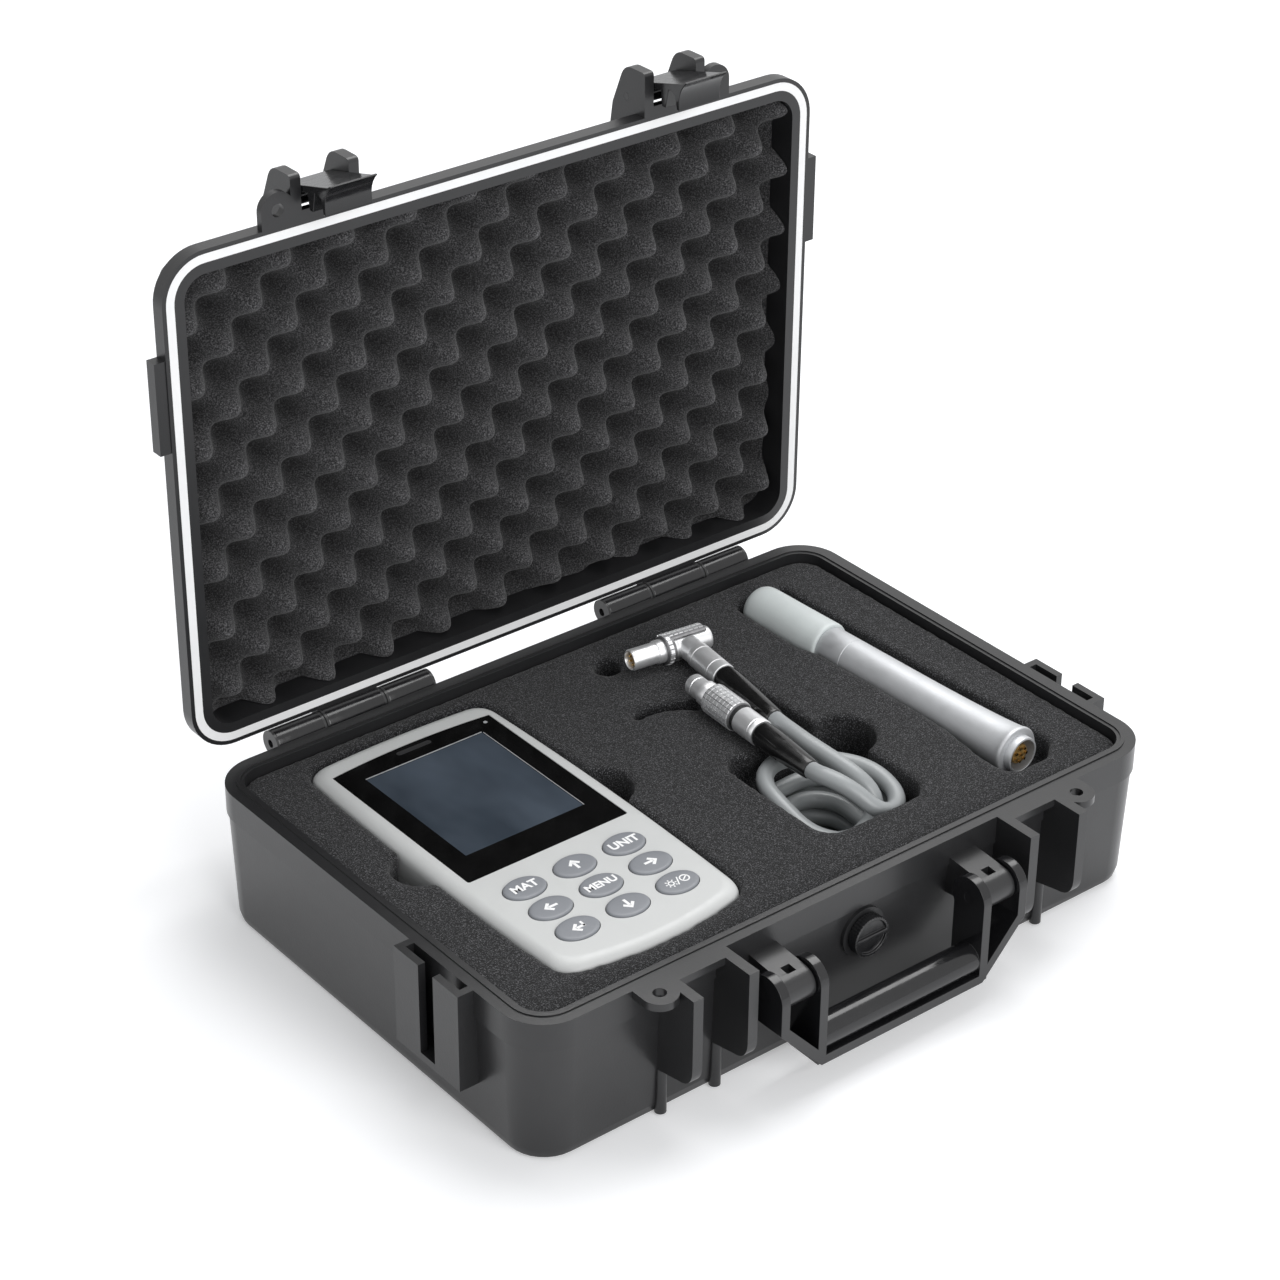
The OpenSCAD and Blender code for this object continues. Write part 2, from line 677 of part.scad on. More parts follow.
module latch() {
    tip = front_y - fin_out;
    low = lid_plane - latch_reach;
    in_y = front_y - ledge_out - gap - 0.1;
    lip = 0.8;
    rise = 5.8 / (latch_z - 8 - low);
    hook_z = base_h - ledge_t - gap;
    x0 = latch_x - bay_gap / 2 + gap;
    x1 = latch_x + bay_gap / 2 - gap;
    outer = function(z) tip + rise * (z - low - 2);
    inner = function(z) outer(z) + latch_plate;
    difference() {
        union() {
            rod_x(x0, x1, latch_y, latch_z, latch_barrel_r);
            across(x0, x1) polygon(concat(
                [[latch_y, latch_z + latch_barrel_r], [outer(latch_z) + 2, latch_z + latch_barrel_r - 1.2],
                 [outer(latch_z) + 0.4, latch_z + 1], [outer(latch_z - 6), latch_z - 6],
                 [outer(low + 2.4), low + 2.4], [tip - lip, low + 1.2]],
                bend([tip - lip, low], [tip + 4, low + 5.5], [in_y - 1.2, low + 3.8], 6),
                [[in_y - 1.2, low + 5.4], [inner(low + 6.6) + 2, low + 6.6], [inner(low + 9), low + 9],
                 [inner(hook_z - 4), hook_z - 4], [in_y, hook_z - 2.4], [in_y, hook_z - 0.3],
                 [inner(hook_z + 0.6), hook_z + 0.6], [inner(latch_z - 7), latch_z - 7],
                 [latch_y - 3, latch_z - 3]]));
        }
        rod_x(x0 - 1, x1 + 1, latch_y, latch_z, latch_pin_r + fit);
    }
}

module latch_pin() rod_x(fin_inner, fin_outer, latch_y, latch_z, latch_pin_r);

module latch_right() color(case_black) opened() latch();
module latch_left() color(case_black) opened() mirror([1, 0, 0]) latch();
module latch_pin_right() color(steel) opened() latch_pin();
module latch_pin_left() color(steel) opened() mirror([1, 0, 0]) latch_pin();

// Base foam with its pockets

// Probe pocket seen from above, measured from the probe's rear end
probe_pocket = [[-cap_r - gap, 1.2], [-cap_r - gap, 1 - cap_l + 5], [-cap_r + 3, -cap_l - 4],
                [-cap_r + 4.2, -probe_l / 2 - 5], [-cap_r + 4.7, 32 - probe_l], [-cap_r + 1.5, 9 - probe_l],
                [-cap_r + 1.5, -3 - probe_l], [-cap_r + 5, -7.5 - probe_l], [cap_r + 2, -7.5 - probe_l],
                [cap_r + 9.7, -1 - probe_l], [cap_r + 11.5, 26 - probe_l], [cap_r + 8.7, -probe_l / 2 - 5],
                [cap_r + 7.5, -cap_l + 6], [cap_r + 6.1, 1.2]];

module foam_pockets() {
    reach = foam_top + 1;
    translate([gauge_x, 0, gauge_floor]) linear_extrude(reach) gauge_outline(-0.4);
    for (s = [-1, 1])
        translate([gauge_x + s * (gauge_w / 2 + side_bow - 1.5), 8, foam_top - notch_depth])
            cylinder(r = notch_r, h = reach);
    translate([probe_rear[0], probe_rear[1], probe_floor]) linear_extrude(reach) polygon(probe_pocket);
    translate([0, 0, pocket_floor]) linear_extrude(reach) {
        translate(coil_pocket) rounded(coil_pocket_size[0], coil_pocket_size[1], coil_pocket_r);
        translate(finger_hole) circle(r = finger_hole_r);
        translate(side_hole) circle(r = side_hole_r);
    }
    translate([0, 0, foam_top - lead_slot_depth]) linear_extrude(reach) translate(lead_slot)
        rounded(lead_slot_size[0], lead_slot_size[1], lead_slot_r);
    translate([plug_hole[0], plug_hole[1], foam_top - plug_hole_depth]) cylinder(r = plug_hole_r, h = reach);
    translate([slit_middle[0], slit_middle[1], foam_top - slit_depth]) linear_extrude(reach) difference() {
        intersection() {
            circle(r = slit_r);
            polygon(slit_reach * [[0, 0], [-0.225, 1], [1, 1], [1, 0.75]]);
        }
        circle(r = slit_r - slit_w);
    }
}

module base_foam() {
    color(foam_black) difference() {
        union() {
            lofted([[wall, floor_in + wall + floor_edge * 0.5 + gap],
                    [floor_edge + wall, floor_in + wall + gap],
                    [base_h - band_h - gap, band_step + wall + gap]]);
            translate([0, 0, base_h - band_h - 1]) slab(rim_w + gap, band_h + 1 - foam_down);
        }
        foam_pockets();
    }
}

// Gauge

// Corners of the gauge before rounding, and how far each side bows out
gauge_corner = [[-gauge_w / 2, gauge_low], [gauge_w / 2, gauge_low],
                [gauge_w / 2, gauge_high], [-gauge_w / 2, gauge_high]];
post_y = [gauge_low + post_in, gauge_high - post_in];
gauge_bow = [bottom_bow, side_bow, top_bow, side_bow];

// Point at the share t of the bowed side i
function gauge_side(i, t) =
    let (a = gauge_corner[i], d = gauge_corner[(i + 1) % 4] - a)
    a + d * t + [d[1], -d[0]] / norm(d) * 4 * gauge_bow[i] * t * (1 - t);

// Share of side i taken by a corner's rounding
function gauge_cut(i) = gauge_round / norm(gauge_corner[(i + 1) % 4] - gauge_corner[i]);

// Outline with bowed sides and round corners, set in by a distance
function gauge_points(inset) =
    let (points = [for (i = [0:3]) let (c = gauge_cut(i), m = (i + 1) % 4,
             turn = bend(gauge_side(i, 1 - c), gauge_side(i, 1), gauge_side(m, gauge_cut(m)), 6))
         each concat([for (k = [0:6]) gauge_side(i, c + (1 - 2 * c) * k / 6)], [for (k = [1:5]) turn[k]])])
    [for (p = points) [p[0] * (1 - 2 * inset / gauge_w), p[1] * (1 - 2 * inset / gauge_l)]];

module gauge_outline(inset) {
    polygon(gauge_points(inset));
}

// Part of the gauge's body through outlines given as [height, inset] from the bottom up
module gauge_body(levels) {
    rings = [for (v = levels) each [for (p = gauge_points(v[1])) [p[0], p[1], v[0]]]];
    n = len(gauge_points(0));
    last = len(levels) - 1;
    polyhedron(rings, concat(
        [[for (k = [0:n - 1]) k]],
        [for (j = [0:last - 1], k = [0:n - 1]) let (m = (k + 1) % n)
            [j * n + k, (j + 1) * n + k, (j + 1) * n + m]],
        [for (j = [0:last - 1], k = [0:n - 1]) let (m = (k + 1) % n)
            [j * n + k, (j + 1) * n + m, j * n + m]],
        [[for (k = [n - 1:-1:0]) last * n + k]]), convexity = 4);
}

module ellipse(grow) {
    a = key_w / 2 + grow;
    b = key_d / 2 + grow;
    polygon([for (i = [0:31]) [a * cos(360 * i / 32), b * sin(360 * i / 32)]]);
}

module window_outline(grow) {
    w = window_w / 2 + grow;
    l = window_l / 2 + grow;
    polygon(concat([[-w, -l], [w, -l]], bend([w, l - 2.2], [0, l + 2.2], [-w, l - 2.2], 8)));
}

module gauge_front() {
    under = gauge_top - shell_t;
    color(pale_grey) translate([gauge_x, 0, 0]) difference() {
        gauge_body([[gauge_part, 0], [gauge_top - face_edge, 0],
                    [gauge_top - face_edge * 0.52, face_edge * 0.16],
                    [gauge_top - face_edge * 0.16, face_edge * 0.48], [gauge_top, face_edge * 0.96]]);
        translate([0, 0, gauge_part - 1]) linear_extrude(under - gauge_part + 1) gauge_outline(shell_t);
        translate([0, window_y, gauge_top - window_t - 0.1]) linear_extrude(shell_t) window_outline(0.15);
        translate([0, lcd_y, under - 1]) linear_extrude(shell_t + 2)
            square([lcd_w + 4, lcd_l + 4], center = true);
        for (i = [-1:1], j = [-1:1])
            translate([i * key_dx, key_y + j * key_dy, under - 1]) linear_extrude(shell_t + 2) ellipse(gap);
    }
}

module gauge_rear() {
    back = gauge_floor + shell_t;
    color(pale_grey) translate([gauge_x, 0, 0]) difference() {
        union() {
            difference() {
                gauge_body([[gauge_floor, 4], [gauge_floor + 1.2, 1.6], [gauge_floor + 4, 0],
                            [gauge_part - 0.1, 0]]);
                translate([0, 0, back]) linear_extrude(gauge_t) gauge_outline(shell_t);
            }
            for (sx = [-1, 1], y = post_y)
                translate([sx * post_x, y, gauge_floor + shell_t / 2])
                    cylinder(r = post_r, h = board_top - board_t - gauge_floor - shell_t / 2);
        }
        translate([-battery_w / 2, battery_y - battery_l / 2, gauge_floor - 1])
            cube([battery_w, battery_l, shell_t + 2]);
        for (sx = [-1, 1], y = post_y) translate([sx * post_x, y, gauge_floor - 1]) {
            cylinder(r = screw_r + fit, h = gauge_t);
            cylinder(r = screw_head_r + fit, h = shell_t + 0.8);
        }
        translate([0, gauge_high - socket_l, socket_z]) rotate([-90, 0, 0])
            cylinder(r = socket_r + fit, h = 2 * socket_l);
    }
}

module gauge_window() {
    color([0.02, 0.02, 0.03]) translate([gauge_x, window_y, gauge_top - window_t - 0.1])
        linear_extrude(window_t) window_outline(0);
}

module gauge_lcd() {
    top = gauge_top - window_t - 0.15;
    color([0.2, 0.25, 0.32]) translate([gauge_x - lcd_w / 2 - 1.5, lcd_y - lcd_l / 2 - 1.5, board_top])
        cube([lcd_w + 3, lcd_l + 3, top - board_top]);
}

module gauge_board() {
    color("darkgreen") translate([gauge_x, 0, board_top - board_t]) difference() {
        translate([-board_w / 2, board_low, 0]) cube([board_w, board_l, board_t]);
        for (sx = [-1, 1], y = post_y)
            translate([sx * post_x, y, -board_t]) cylinder(r = screw_r + fit, h = 3 * board_t);
    }
}

module keypad_mat() {
    key_low = gauge_top - shell_t - gap - key_rim_t;
    dome_h = key_low - key_travel - gap - board_top - mat_t;
    color([0.5, 0.5, 0.52]) translate([gauge_x, key_y, board_top]) {
        translate([-key_dx * 1.5, -key_dy * 1.5, 0]) cube([3 * key_dx, 3 * key_dy, mat_t]);
        for (i = [-1:1], j = [-1:1])
            translate([i * key_dx, j * key_dy, mat_t - skin]) cylinder(r = 4, h = dome_h + skin);
    }
}

// Key in a column and row counted from the keypad's middle
module key(column, row) {
    under = gauge_top - shell_t;
    top = gauge_top + key_up;
    color(key_grey) translate([gauge_x + column * key_dx, key_y + row * key_dy, 0]) {
        hull() {
            translate([0, 0, under - gap - skin]) linear_extrude(top - under + gap - 0.5) ellipse(0);
            translate([0, 0, top - skin]) linear_extrude(skin) ellipse(-0.9);
        }
        translate([0, 0, under - gap - key_rim_t]) linear_extrude(key_rim_t) ellipse(key_rim);
    }
}

module key_material() key(-1, 1);
module key_up_arrow() key(0, 1);
module key_unit() key(1, 1);
module key_left_arrow() key(-1, 0);
module key_menu() key(0, 0);
module key_right_arrow() key(1, 0);
module key_enter() key(-1, -1);
module key_down_arrow() key(0, -1);
module key_power() key(1, -1);

module battery_cover() {
    color(pale_grey) translate([gauge_x, battery_y, 0]) {
        translate([-battery_w / 2 + gap, -battery_l / 2 + gap, gauge_floor + 0.1])
            cube([battery_w - 2 * gap, battery_l - 2 * gap, shell_t]);
        translate([-battery_w / 2 - cover_lip, -battery_l / 4, gauge_floor + shell_t + 0.05])
            cube([battery_w + 2 * cover_lip, battery_l / 2, cover_lip_t]);
    }
}

// Three round cells side by side
module battery_pack() {
    color([0.3, 0.35, 0.5]) translate([gauge_x, battery_y, gauge_floor + shell_t + cover_lip_t + 0.1 + cell_r])
        for (i = [-1:1])
            translate([i * (2 * cell_r + 0.4), cell_l / 2, 0]) rotate([90, 0, 0])
                cylinder(r = cell_r, h = cell_l);
}

module gauge_socket() {
    length = socket_l + top_bow;
    depth = length / 2;
    color(steel) translate([gauge_x, gauge_high - socket_l, socket_z]) rotate([-90, 0, 0]) difference() {
        cylinder(r = socket_r, h = length);
        translate([0, 0, length - depth]) cylinder(r = socket_r - 1.2, h = depth + 1);
    }
}

module gauge_screws() {
    color(steel) for (sx = [-1, 1], y = post_y)
        translate([gauge_x + sx * post_x, y, gauge_floor + 0.3]) {
            cylinder(r = screw_head_r, h = 1.8);
            cylinder(r = screw_r, h = board_top - gauge_floor - 0.5);
        }
}

// Probe, drawn along +Z from its capped rear end and then laid in its pocket

module laid_probe() {
    translate([probe_rear[0], probe_rear[1], probe_z]) rotate([0, 0, probe_skew]) rotate([90, 0, 0]) children();
}

module probe_body() {
    end = probe_l - collar_l;
    color(steel) laid_probe() rotate_extrude() polygon(concat(
        [[0, tube_start], [tube_r - 1.9, tube_start], [tube_r - 0.4, tube_start + 2], [tube_r - 0.4, cap_l],
         [tube_r, cap_l + 0.2], [tube_r, cap_l + 13], [tube_r - 0.5, cap_l + 13.2],
         [tube_r - 0.5, cap_l + 13.8], [tube_r, cap_l + 14]],
        bend([tube_r, cap_l + 0.4 * (end - cap_l)], [tube_r, end - 0.18 * (end - cap_l)],
             [flare_r - 0.4, end - 3], 6),
        [[flare_r, end - 1.6], [flare_r, end - 0.7], [flare_r - 0.7, end], [collar_r, end],
         [collar_r, probe_l - 0.4], [collar_r - 0.4, probe_l], [collar_r - 1, probe_l],
         [collar_r - 1, probe_l - bore_l], [0, probe_l - bore_l]]));
}

module probe_cap() {
    color([0.82, 0.85, 0.86]) laid_probe() rotate_extrude() polygon(concat(
        [[0, 0]], bend([cap_r - 4.5, 0], [cap_r - 0.4, 0], [cap_r, 5], 6),
        [[cap_r, cap_l - 0.5], [cap_r - 0.6, cap_l], [tube_r - 0.4 + fit, cap_l],
         [tube_r - 0.4 + fit, 6], [0, 6]]));
}

module probe_tip() {
    color(steel) laid_probe() rotate_extrude()
        polygon([[0, tube_start - 6], [0.4, tube_start - 6], [1.6, tube_start - 3.5], [1.6, tube_start - 2],
                 [4, tube_start - 1], [4, tube_start], [0, tube_start]]);
}

module probe_socket() {
    color([0.85, 0.75, 0.45]) laid_probe() translate([0, 0, probe_l - bore_l]) {
        cylinder(r = collar_r - 1 - fit, h = 2);
        cylinder(r = insulator_r, h = bore_l - 1.6);
    }
}

module probe_pins() {
    color("gold") laid_probe() translate([0, 0, probe_l - 1.6]) {
        for (i = [0:6]) rotate(i * 360 / 7) translate([2.8, 0, 0]) cylinder(r = 0.6, h = 0.9);
        cylinder(r = 0.6, h = 0.9);
    }
}

// Plugs

// Ring with grooves along its length
module knurled_ring(r_in, r_out, l) {
    rings = 6;
    pitch = l / rings;
    rotate_extrude() polygon(concat(
        [[r_in, 0]],
        [for (i = [0:rings - 1]) each [[r_out - 0.4, i * pitch], [r_out - 0.4, i * pitch + 0.5],
                                       [r_out, i * pitch + 0.7], [r_out, (i + 1) * pitch]]],
        [[r_in, l]]));
}

// Tapered boot along +Z
module boot(boot_l) {
    color([0.1, 0.1, 0.1]) rotate_extrude() polygon(concat(
        [[0, 0], [5, 0], [5.1, 3]],
        bend([5.1, 6], [4.9, boot_l * 0.5], [cable_d / 2 + 0.5, boot_l], 6), [[0, boot_l]]));
}

module elbow_place() translate(elbow_at) rotate([0, 0, elbow_turn]) children();
module along_nose() rotate([0, -90, 0]) children();
module along_leg() rotate([90, 0, 0]) children();

module elbow_plug_nose() {
    color(steel) elbow_place() along_nose() difference() {
        union() {
            translate([0, 0, elbow_r + gap]) cylinder(r = sleeve_r - 1.4 - fit - 0.1, h = 5.6);
            translate([0, 0, sleeve_high + gap]) cylinder(r = nose_r + 0.5, h = 3);
            translate([0, 0, sleeve_high]) cylinder(r = nose_r, h = 14.7);
        }
        translate([0, 0, 16]) cylinder(r = nose_r - 0.7, h = 12);
    }
}

module elbow_plug_sleeve() {
    notch_w = 11.6;
    color(steel) elbow_place() difference() {
        along_nose() translate([0, 0, sleeve_low]) knurled_ring(sleeve_r - 1.4, sleeve_r, sleeve_high - sleeve_low);
        translate([-elbow_r - gap - sleeve_travel, -10, -notch_w / 2]) cube([20, 10, notch_w]);
    }
}

module elbow_plug_body() {
    color(steel) elbow_place() {
        along_nose() translate([0, 0, -11]) cylinder(r = sleeve_r - 1.5 - fit, h = 11 + elbow_r + gap - 0.1);
        along_leg() {
            cylinder(r = elbow_r, h = 10);
            translate([0, 0, 10]) cylinder(r = elbow_r + 0.3, h = elbow_leg_l - 10);
        }
    }
}

module elbow_plug_boot() elbow_place() along_leg() translate([0, 0, elbow_leg_l]) boot(elbow_boot_l);

module straight_place() translate(straight_at) rotate([0, 0, straight_turn]) rotate([90, 0, 0]) children();

module straight_plug_nose() {
    color(steel) straight_place() difference() {
        union() {
            cylinder(r = nose_r, h = 8);
            translate([0, 0, 8]) cylinder(r = nose_r + 0.8, h = 4.4);
            translate([0, 0, 12.4]) cylinder(r = sleeve_r - 1.4 - fit - 0.1, h = straight_len - 12 - 12.4);
        }
        translate([0, 0, -1]) cylinder(r = nose_r - 0.7, h = 8);
    }
}

module straight_plug_sleeve() {
    color(steel) straight_place() translate([0, 0, 12.4 + gap])
        knurled_ring(sleeve_r - 1.4, sleeve_r, straight_len - 12 - 12.4 - sleeve_travel - 2 * gap);
}

module straight_plug_nut() {
    color(steel) straight_place() translate([0, 0, straight_len - 12]) {
        cylinder(r = 5.4, h = 12);
    }
}

module straight_plug_boot() straight_place() translate([0, 0, straight_len]) boot(straight_boot_l);

// Cable

// Round tube through a list of points, smoothed between them
module tube(route, r) {
    sides = 10;
    steps = 2;
    last = len(route) - 1;
    at = function(i) route[min(max(i, 0), last)];
    path = [for (i = [0:last - 1], s = [0:steps - 1]) let (t = s / steps)
        0.5 * (2 * at(i) + (at(i + 1) - at(i - 1)) * t
               + (2 * at(i - 1) - 5 * at(i) + 4 * at(i + 1) - at(i + 2)) * t * t
               + (3 * at(i) - at(i - 1) - 3 * at(i + 1) + at(i + 2)) * t * t * t)];
    points = concat(path, [route[last]]);
    n = len(points);
    ring = [for (k = [0:n - 1]) let (
            d = points[min(k + 1, n - 1)] - points[max(k - 1, 0)],
            side = cross(d, [1, 0, 0]) / norm(cross(d, [1, 0, 0])),
            up = cross(side, d) / norm(cross(side, d)))
        each [for (a = [0:sides - 1])
            points[k] + r * (cos(360 * a / sides) * side + sin(360 * a / sides) * up)]];
    polyhedron(ring, concat(
        [[for (a = [0:sides - 1]) a]],
        [for (k = [0:n - 2], a = [0:sides - 1]) let (b = (a + 1) % sides)
            [k * sides + a, (k + 1) * sides + a, (k + 1) * sides + b]],
        [for (k = [0:n - 2], a = [0:sides - 1]) let (b = (a + 1) % sides)
            [k * sides + a, (k + 1) * sides + b, k * sides + b]],
        [[for (a = [sides - 1:-1:0]) (n - 1) * sides + a]]));
}

module cable_lead_elbow() color(cable_grey) tube(elbow_route, cable_d / 2);
module cable_lead_straight() color(cable_grey) tube(straight_route, cable_d / 2);

// Outer form of the wound cable: flat turns on each other
module cable_coil() {
    color(cable_grey) translate([(coil_x[0] + coil_x[1]) / 2, (coil_y[0] + coil_y[1]) / 2, pocket_floor + fit])
        linear_extrude(coil_top - pocket_floor - fit)
            rounded(coil_x[1] - coil_x[0], coil_y[1] - coil_y[0], coil_r);
}

base_shell();
base_foam();
hinge_pin_left();
hinge_pin_right();
lid_shell();
lid_gasket();
lid_foam();
latch_left();
latch_right();
latch_pin_left();
latch_pin_right();
handle();
handle_pin_left();
handle_pin_right();
valve_knob();
valve_seal();
gauge_front();
gauge_rear();
gauge_window();
gauge_lcd();
gauge_board();
keypad_mat();
key_material();
key_up_arrow();
key_unit();
key_left_arrow();
key_menu();
key_right_arrow();
key_enter();
key_down_arrow();
key_power();
battery_pack();
battery_cover();
gauge_socket();
gauge_screws();
probe_body();
probe_cap();
probe_tip();
probe_socket();
probe_pins();
elbow_plug_nose();
elbow_plug_sleeve();
elbow_plug_body();
elbow_plug_boot();
straight_plug_nose();
straight_plug_sleeve();
straight_plug_nut();
straight_plug_boot();
cable_lead_elbow();
cable_lead_straight();
cable_coil();
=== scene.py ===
"""Open carrying case with a hand-held hardness tester, its probe and its cable."""

import math

import bmesh
import bpy
from mathutils import Matrix, Vector, noise as hills

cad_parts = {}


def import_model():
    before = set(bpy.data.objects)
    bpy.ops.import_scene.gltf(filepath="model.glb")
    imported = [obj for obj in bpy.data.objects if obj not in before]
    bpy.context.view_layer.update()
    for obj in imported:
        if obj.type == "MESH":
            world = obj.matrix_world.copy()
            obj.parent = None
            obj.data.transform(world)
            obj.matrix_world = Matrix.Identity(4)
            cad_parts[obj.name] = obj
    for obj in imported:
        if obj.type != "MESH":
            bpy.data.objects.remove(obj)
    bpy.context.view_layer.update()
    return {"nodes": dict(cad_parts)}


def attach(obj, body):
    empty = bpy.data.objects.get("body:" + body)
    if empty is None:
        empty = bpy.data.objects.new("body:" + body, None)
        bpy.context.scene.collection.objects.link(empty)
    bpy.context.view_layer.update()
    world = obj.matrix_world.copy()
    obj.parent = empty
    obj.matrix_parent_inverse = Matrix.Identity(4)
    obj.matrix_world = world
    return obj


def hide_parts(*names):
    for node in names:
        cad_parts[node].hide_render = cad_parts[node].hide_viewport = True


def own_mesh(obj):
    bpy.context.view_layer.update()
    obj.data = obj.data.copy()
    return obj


MM = 0.001
ON_AXIS = 1e-6
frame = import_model()
cad = frame["nodes"]


# Camera of the photograph

AZIMUTH = math.radians(-38.96)
ELEVATION = math.radians(30.977)
ROLL = 0.009
DISTANCE = 1.3068
TARGET = Vector((0.0404, 0.0777, 0.060))
FOCAL_PIXELS = 3307
IMAGE_PIXELS = 1280
SENSOR = 36


def make_camera():
    ca, sa = math.cos(AZIMUTH), math.sin(AZIMUTH)
    ce, se = math.cos(ELEVATION), math.sin(ELEVATION)
    back = Vector((sa * ce, -ca * ce, se))
    right = Vector((ca, sa, 0))
    up = back.cross(right)
    cr, sr = math.cos(ROLL), math.sin(ROLL)
    right, up = cr * right + sr * up, -sr * right + cr * up
    data = bpy.data.cameras.new("camera")
    data.sensor_width = SENSOR
    data.lens = FOCAL_PIXELS / IMAGE_PIXELS * SENSOR
    data.clip_start, data.clip_end = 0.05, 50
    camera = bpy.data.objects.new("camera", data)
    bpy.context.scene.collection.objects.link(camera)
    place = Matrix((right, up, back)).transposed().to_4x4()
    place.translation = TARGET + DISTANCE * back
    camera.matrix_world = place
    bpy.context.scene.camera = camera


make_camera()


# Materials

def new_material(name):
    made = bpy.data.materials.new(name)
    made.use_nodes = True
    return made, made.node_tree, made.node_tree.nodes["Principled BSDF"]


def add(tree, kind, **inputs):
    node = tree.nodes.new(kind)
    for key, value in inputs.items():
        socket = key.replace("_", " ")
        if socket in node.inputs:
            node.inputs[socket].default_value = value
        else:
            setattr(node, key, value)
    return node


def noise(tree, scale, detail=2.0, stretch=None):
    coords = add(tree, "ShaderNodeTexCoord")
    found = add(tree, "ShaderNodeTexNoise", Scale=scale, Detail=detail)
    if stretch:
        mapping = add(tree, "ShaderNodeMapping", Scale=stretch)
        tree.links.new(coords.outputs["Object"], mapping.inputs["Vector"])
        tree.links.new(mapping.outputs["Vector"], found.inputs["Vector"])
    else:
        tree.links.new(coords.outputs["Object"], found.inputs["Vector"])
    return found.outputs["Fac"]


def ramp(tree, factor, stops):
    made = add(tree, "ShaderNodeValToRGB")
    elements = made.color_ramp.elements
    while len(elements) < len(stops):
        elements.new(0.5)
    for element, (position, colour) in zip(elements, stops):
        element.position = position
        element.color = (*colour, 1)
    tree.links.new(factor, made.inputs["Fac"])
    return made.outputs["Color"]


def scaled(colour, k):
    return tuple(min(1.0, c * k) for c in colour)


def bump(tree, bsdf, height, distance):
    made = add(tree, "ShaderNodeBump", Distance=distance, Strength=1.0)
    tree.links.new(height, made.inputs["Height"])
    tree.links.new(made.outputs["Normal"], bsdf.inputs["Normal"])


def surface(name, colour, rough, metal=0.0, vary=0.08, vary_scale=70.0, grain=1200.0,
            grain_depth=0.00006, rough_vary=0.06, **sockets):
    """Moulded or metal surface: cloudy colour and gloss, and a fine grain."""
    made, tree, bsdf = new_material(name)
    bsdf.inputs["Metallic"].default_value = metal
    for key, value in sockets.items():
        bsdf.inputs[key.replace("_", " ")].default_value = value
    cloud = noise(tree, vary_scale, 4.0)
    tree.links.new(
        ramp(tree, cloud, [(0.3, scaled(colour, 1 - vary)), (0.7, scaled(colour, 1 + vary))]),
        bsdf.inputs["Base Color"])
    low, high = max(0.02, rough - rough_vary), min(1.0, rough + rough_vary)
    tree.links.new(ramp(tree, noise(tree, vary_scale * 3, 3.0), [(0.3, (low,) * 3), (0.7, (high,) * 3)]),
                   bsdf.inputs["Roughness"])
    if grain_depth:
        bump(tree, bsdf, noise(tree, grain), grain_depth)
    return made


MIX_A, MIX_B, MIX_COLOUR = 6, 7, 2
# Painted shade: the share of the foam's colour left at the bottom of the lid foam's hollows.
PIT_SHADE = 0.3


def foam_material(name, dark, middle, light, speck, scale, depth, shade_y_range=None):
    """Open-cell foam: dark pores, pale cell walls and bright specks; given a Y range, painted shade darkens it from
    one Y to the other, from the peaks down into the egg-crate's hollows.
    """
    made, tree, bsdf = new_material(name)
    cells = noise(tree, scale, 3.0)
    colour = ramp(tree, cells, [(0.41, dark), (0.5, middle), (0.57, light), (0.67, speck)])
    if shade_y_range:
        # Painted shade: the colour darkens with Y, from the peaks down into the hollows, in place of their shadow.
        coords = add(tree, "ShaderNodeTexCoord")
        parts = add(tree, "ShaderNodeSeparateXYZ")
        tree.links.new(coords.outputs["Object"], parts.inputs["Vector"])
        share = add(tree, "ShaderNodeMapRange", From_Min=shade_y_range[0], From_Max=shade_y_range[1], To_Min=0.0, To_Max=1.0)
        tree.links.new(parts.outputs["Y"], share.inputs["Value"])
        painted_pit_shade = ramp(tree, share.outputs["Result"], [(0.0, (1.0,) * 3), (1.0, (PIT_SHADE,) * 3)])
        mix = add(tree, "ShaderNodeMix", data_type="RGBA", blend_type="MULTIPLY")
        mix.inputs["Factor"].default_value = 1.0
        tree.links.new(colour, mix.inputs[MIX_A])
        tree.links.new(painted_pit_shade, mix.inputs[MIX_B])
        colour = mix.outputs[MIX_COLOUR]
    tree.links.new(colour, bsdf.inputs["Base Color"])
    bsdf.inputs["Roughness"].default_value = 0.95
    bsdf.inputs["Specular IOR Level"].default_value = 0.15
    bsdf.inputs["Sheen Weight"].default_value = 0.12
    bsdf.inputs["Sheen Roughness"].default_value = 0.6
    bump(tree, bsdf, cells, depth)
    return made


CASE = surface("case_plastic", (0.019, 0.019, 0.020), 0.3, vary=0.06, vary_scale=90, grain=1300,
               grain_depth=0.00003, rough_vary=0.015)
CASE_GLOSS = surface("case_plastic_polished", (0.010, 0.010, 0.011), 0.18, grain=500, grain_depth=0.00002)
LID = surface("lid_plastic", (0.014, 0.014, 0.015), 0.34, vary=0.06, vary_scale=90, grain=1300, grain_depth=0.00003,
              rough_vary=0.015)
FOAM = foam_material("cut_foam", (0.003,) * 3, (0.009, 0.009, 0.010), (0.028, 0.028, 0.031), (0.12, 0.12, 0.125),
                     2100, 0.0004)
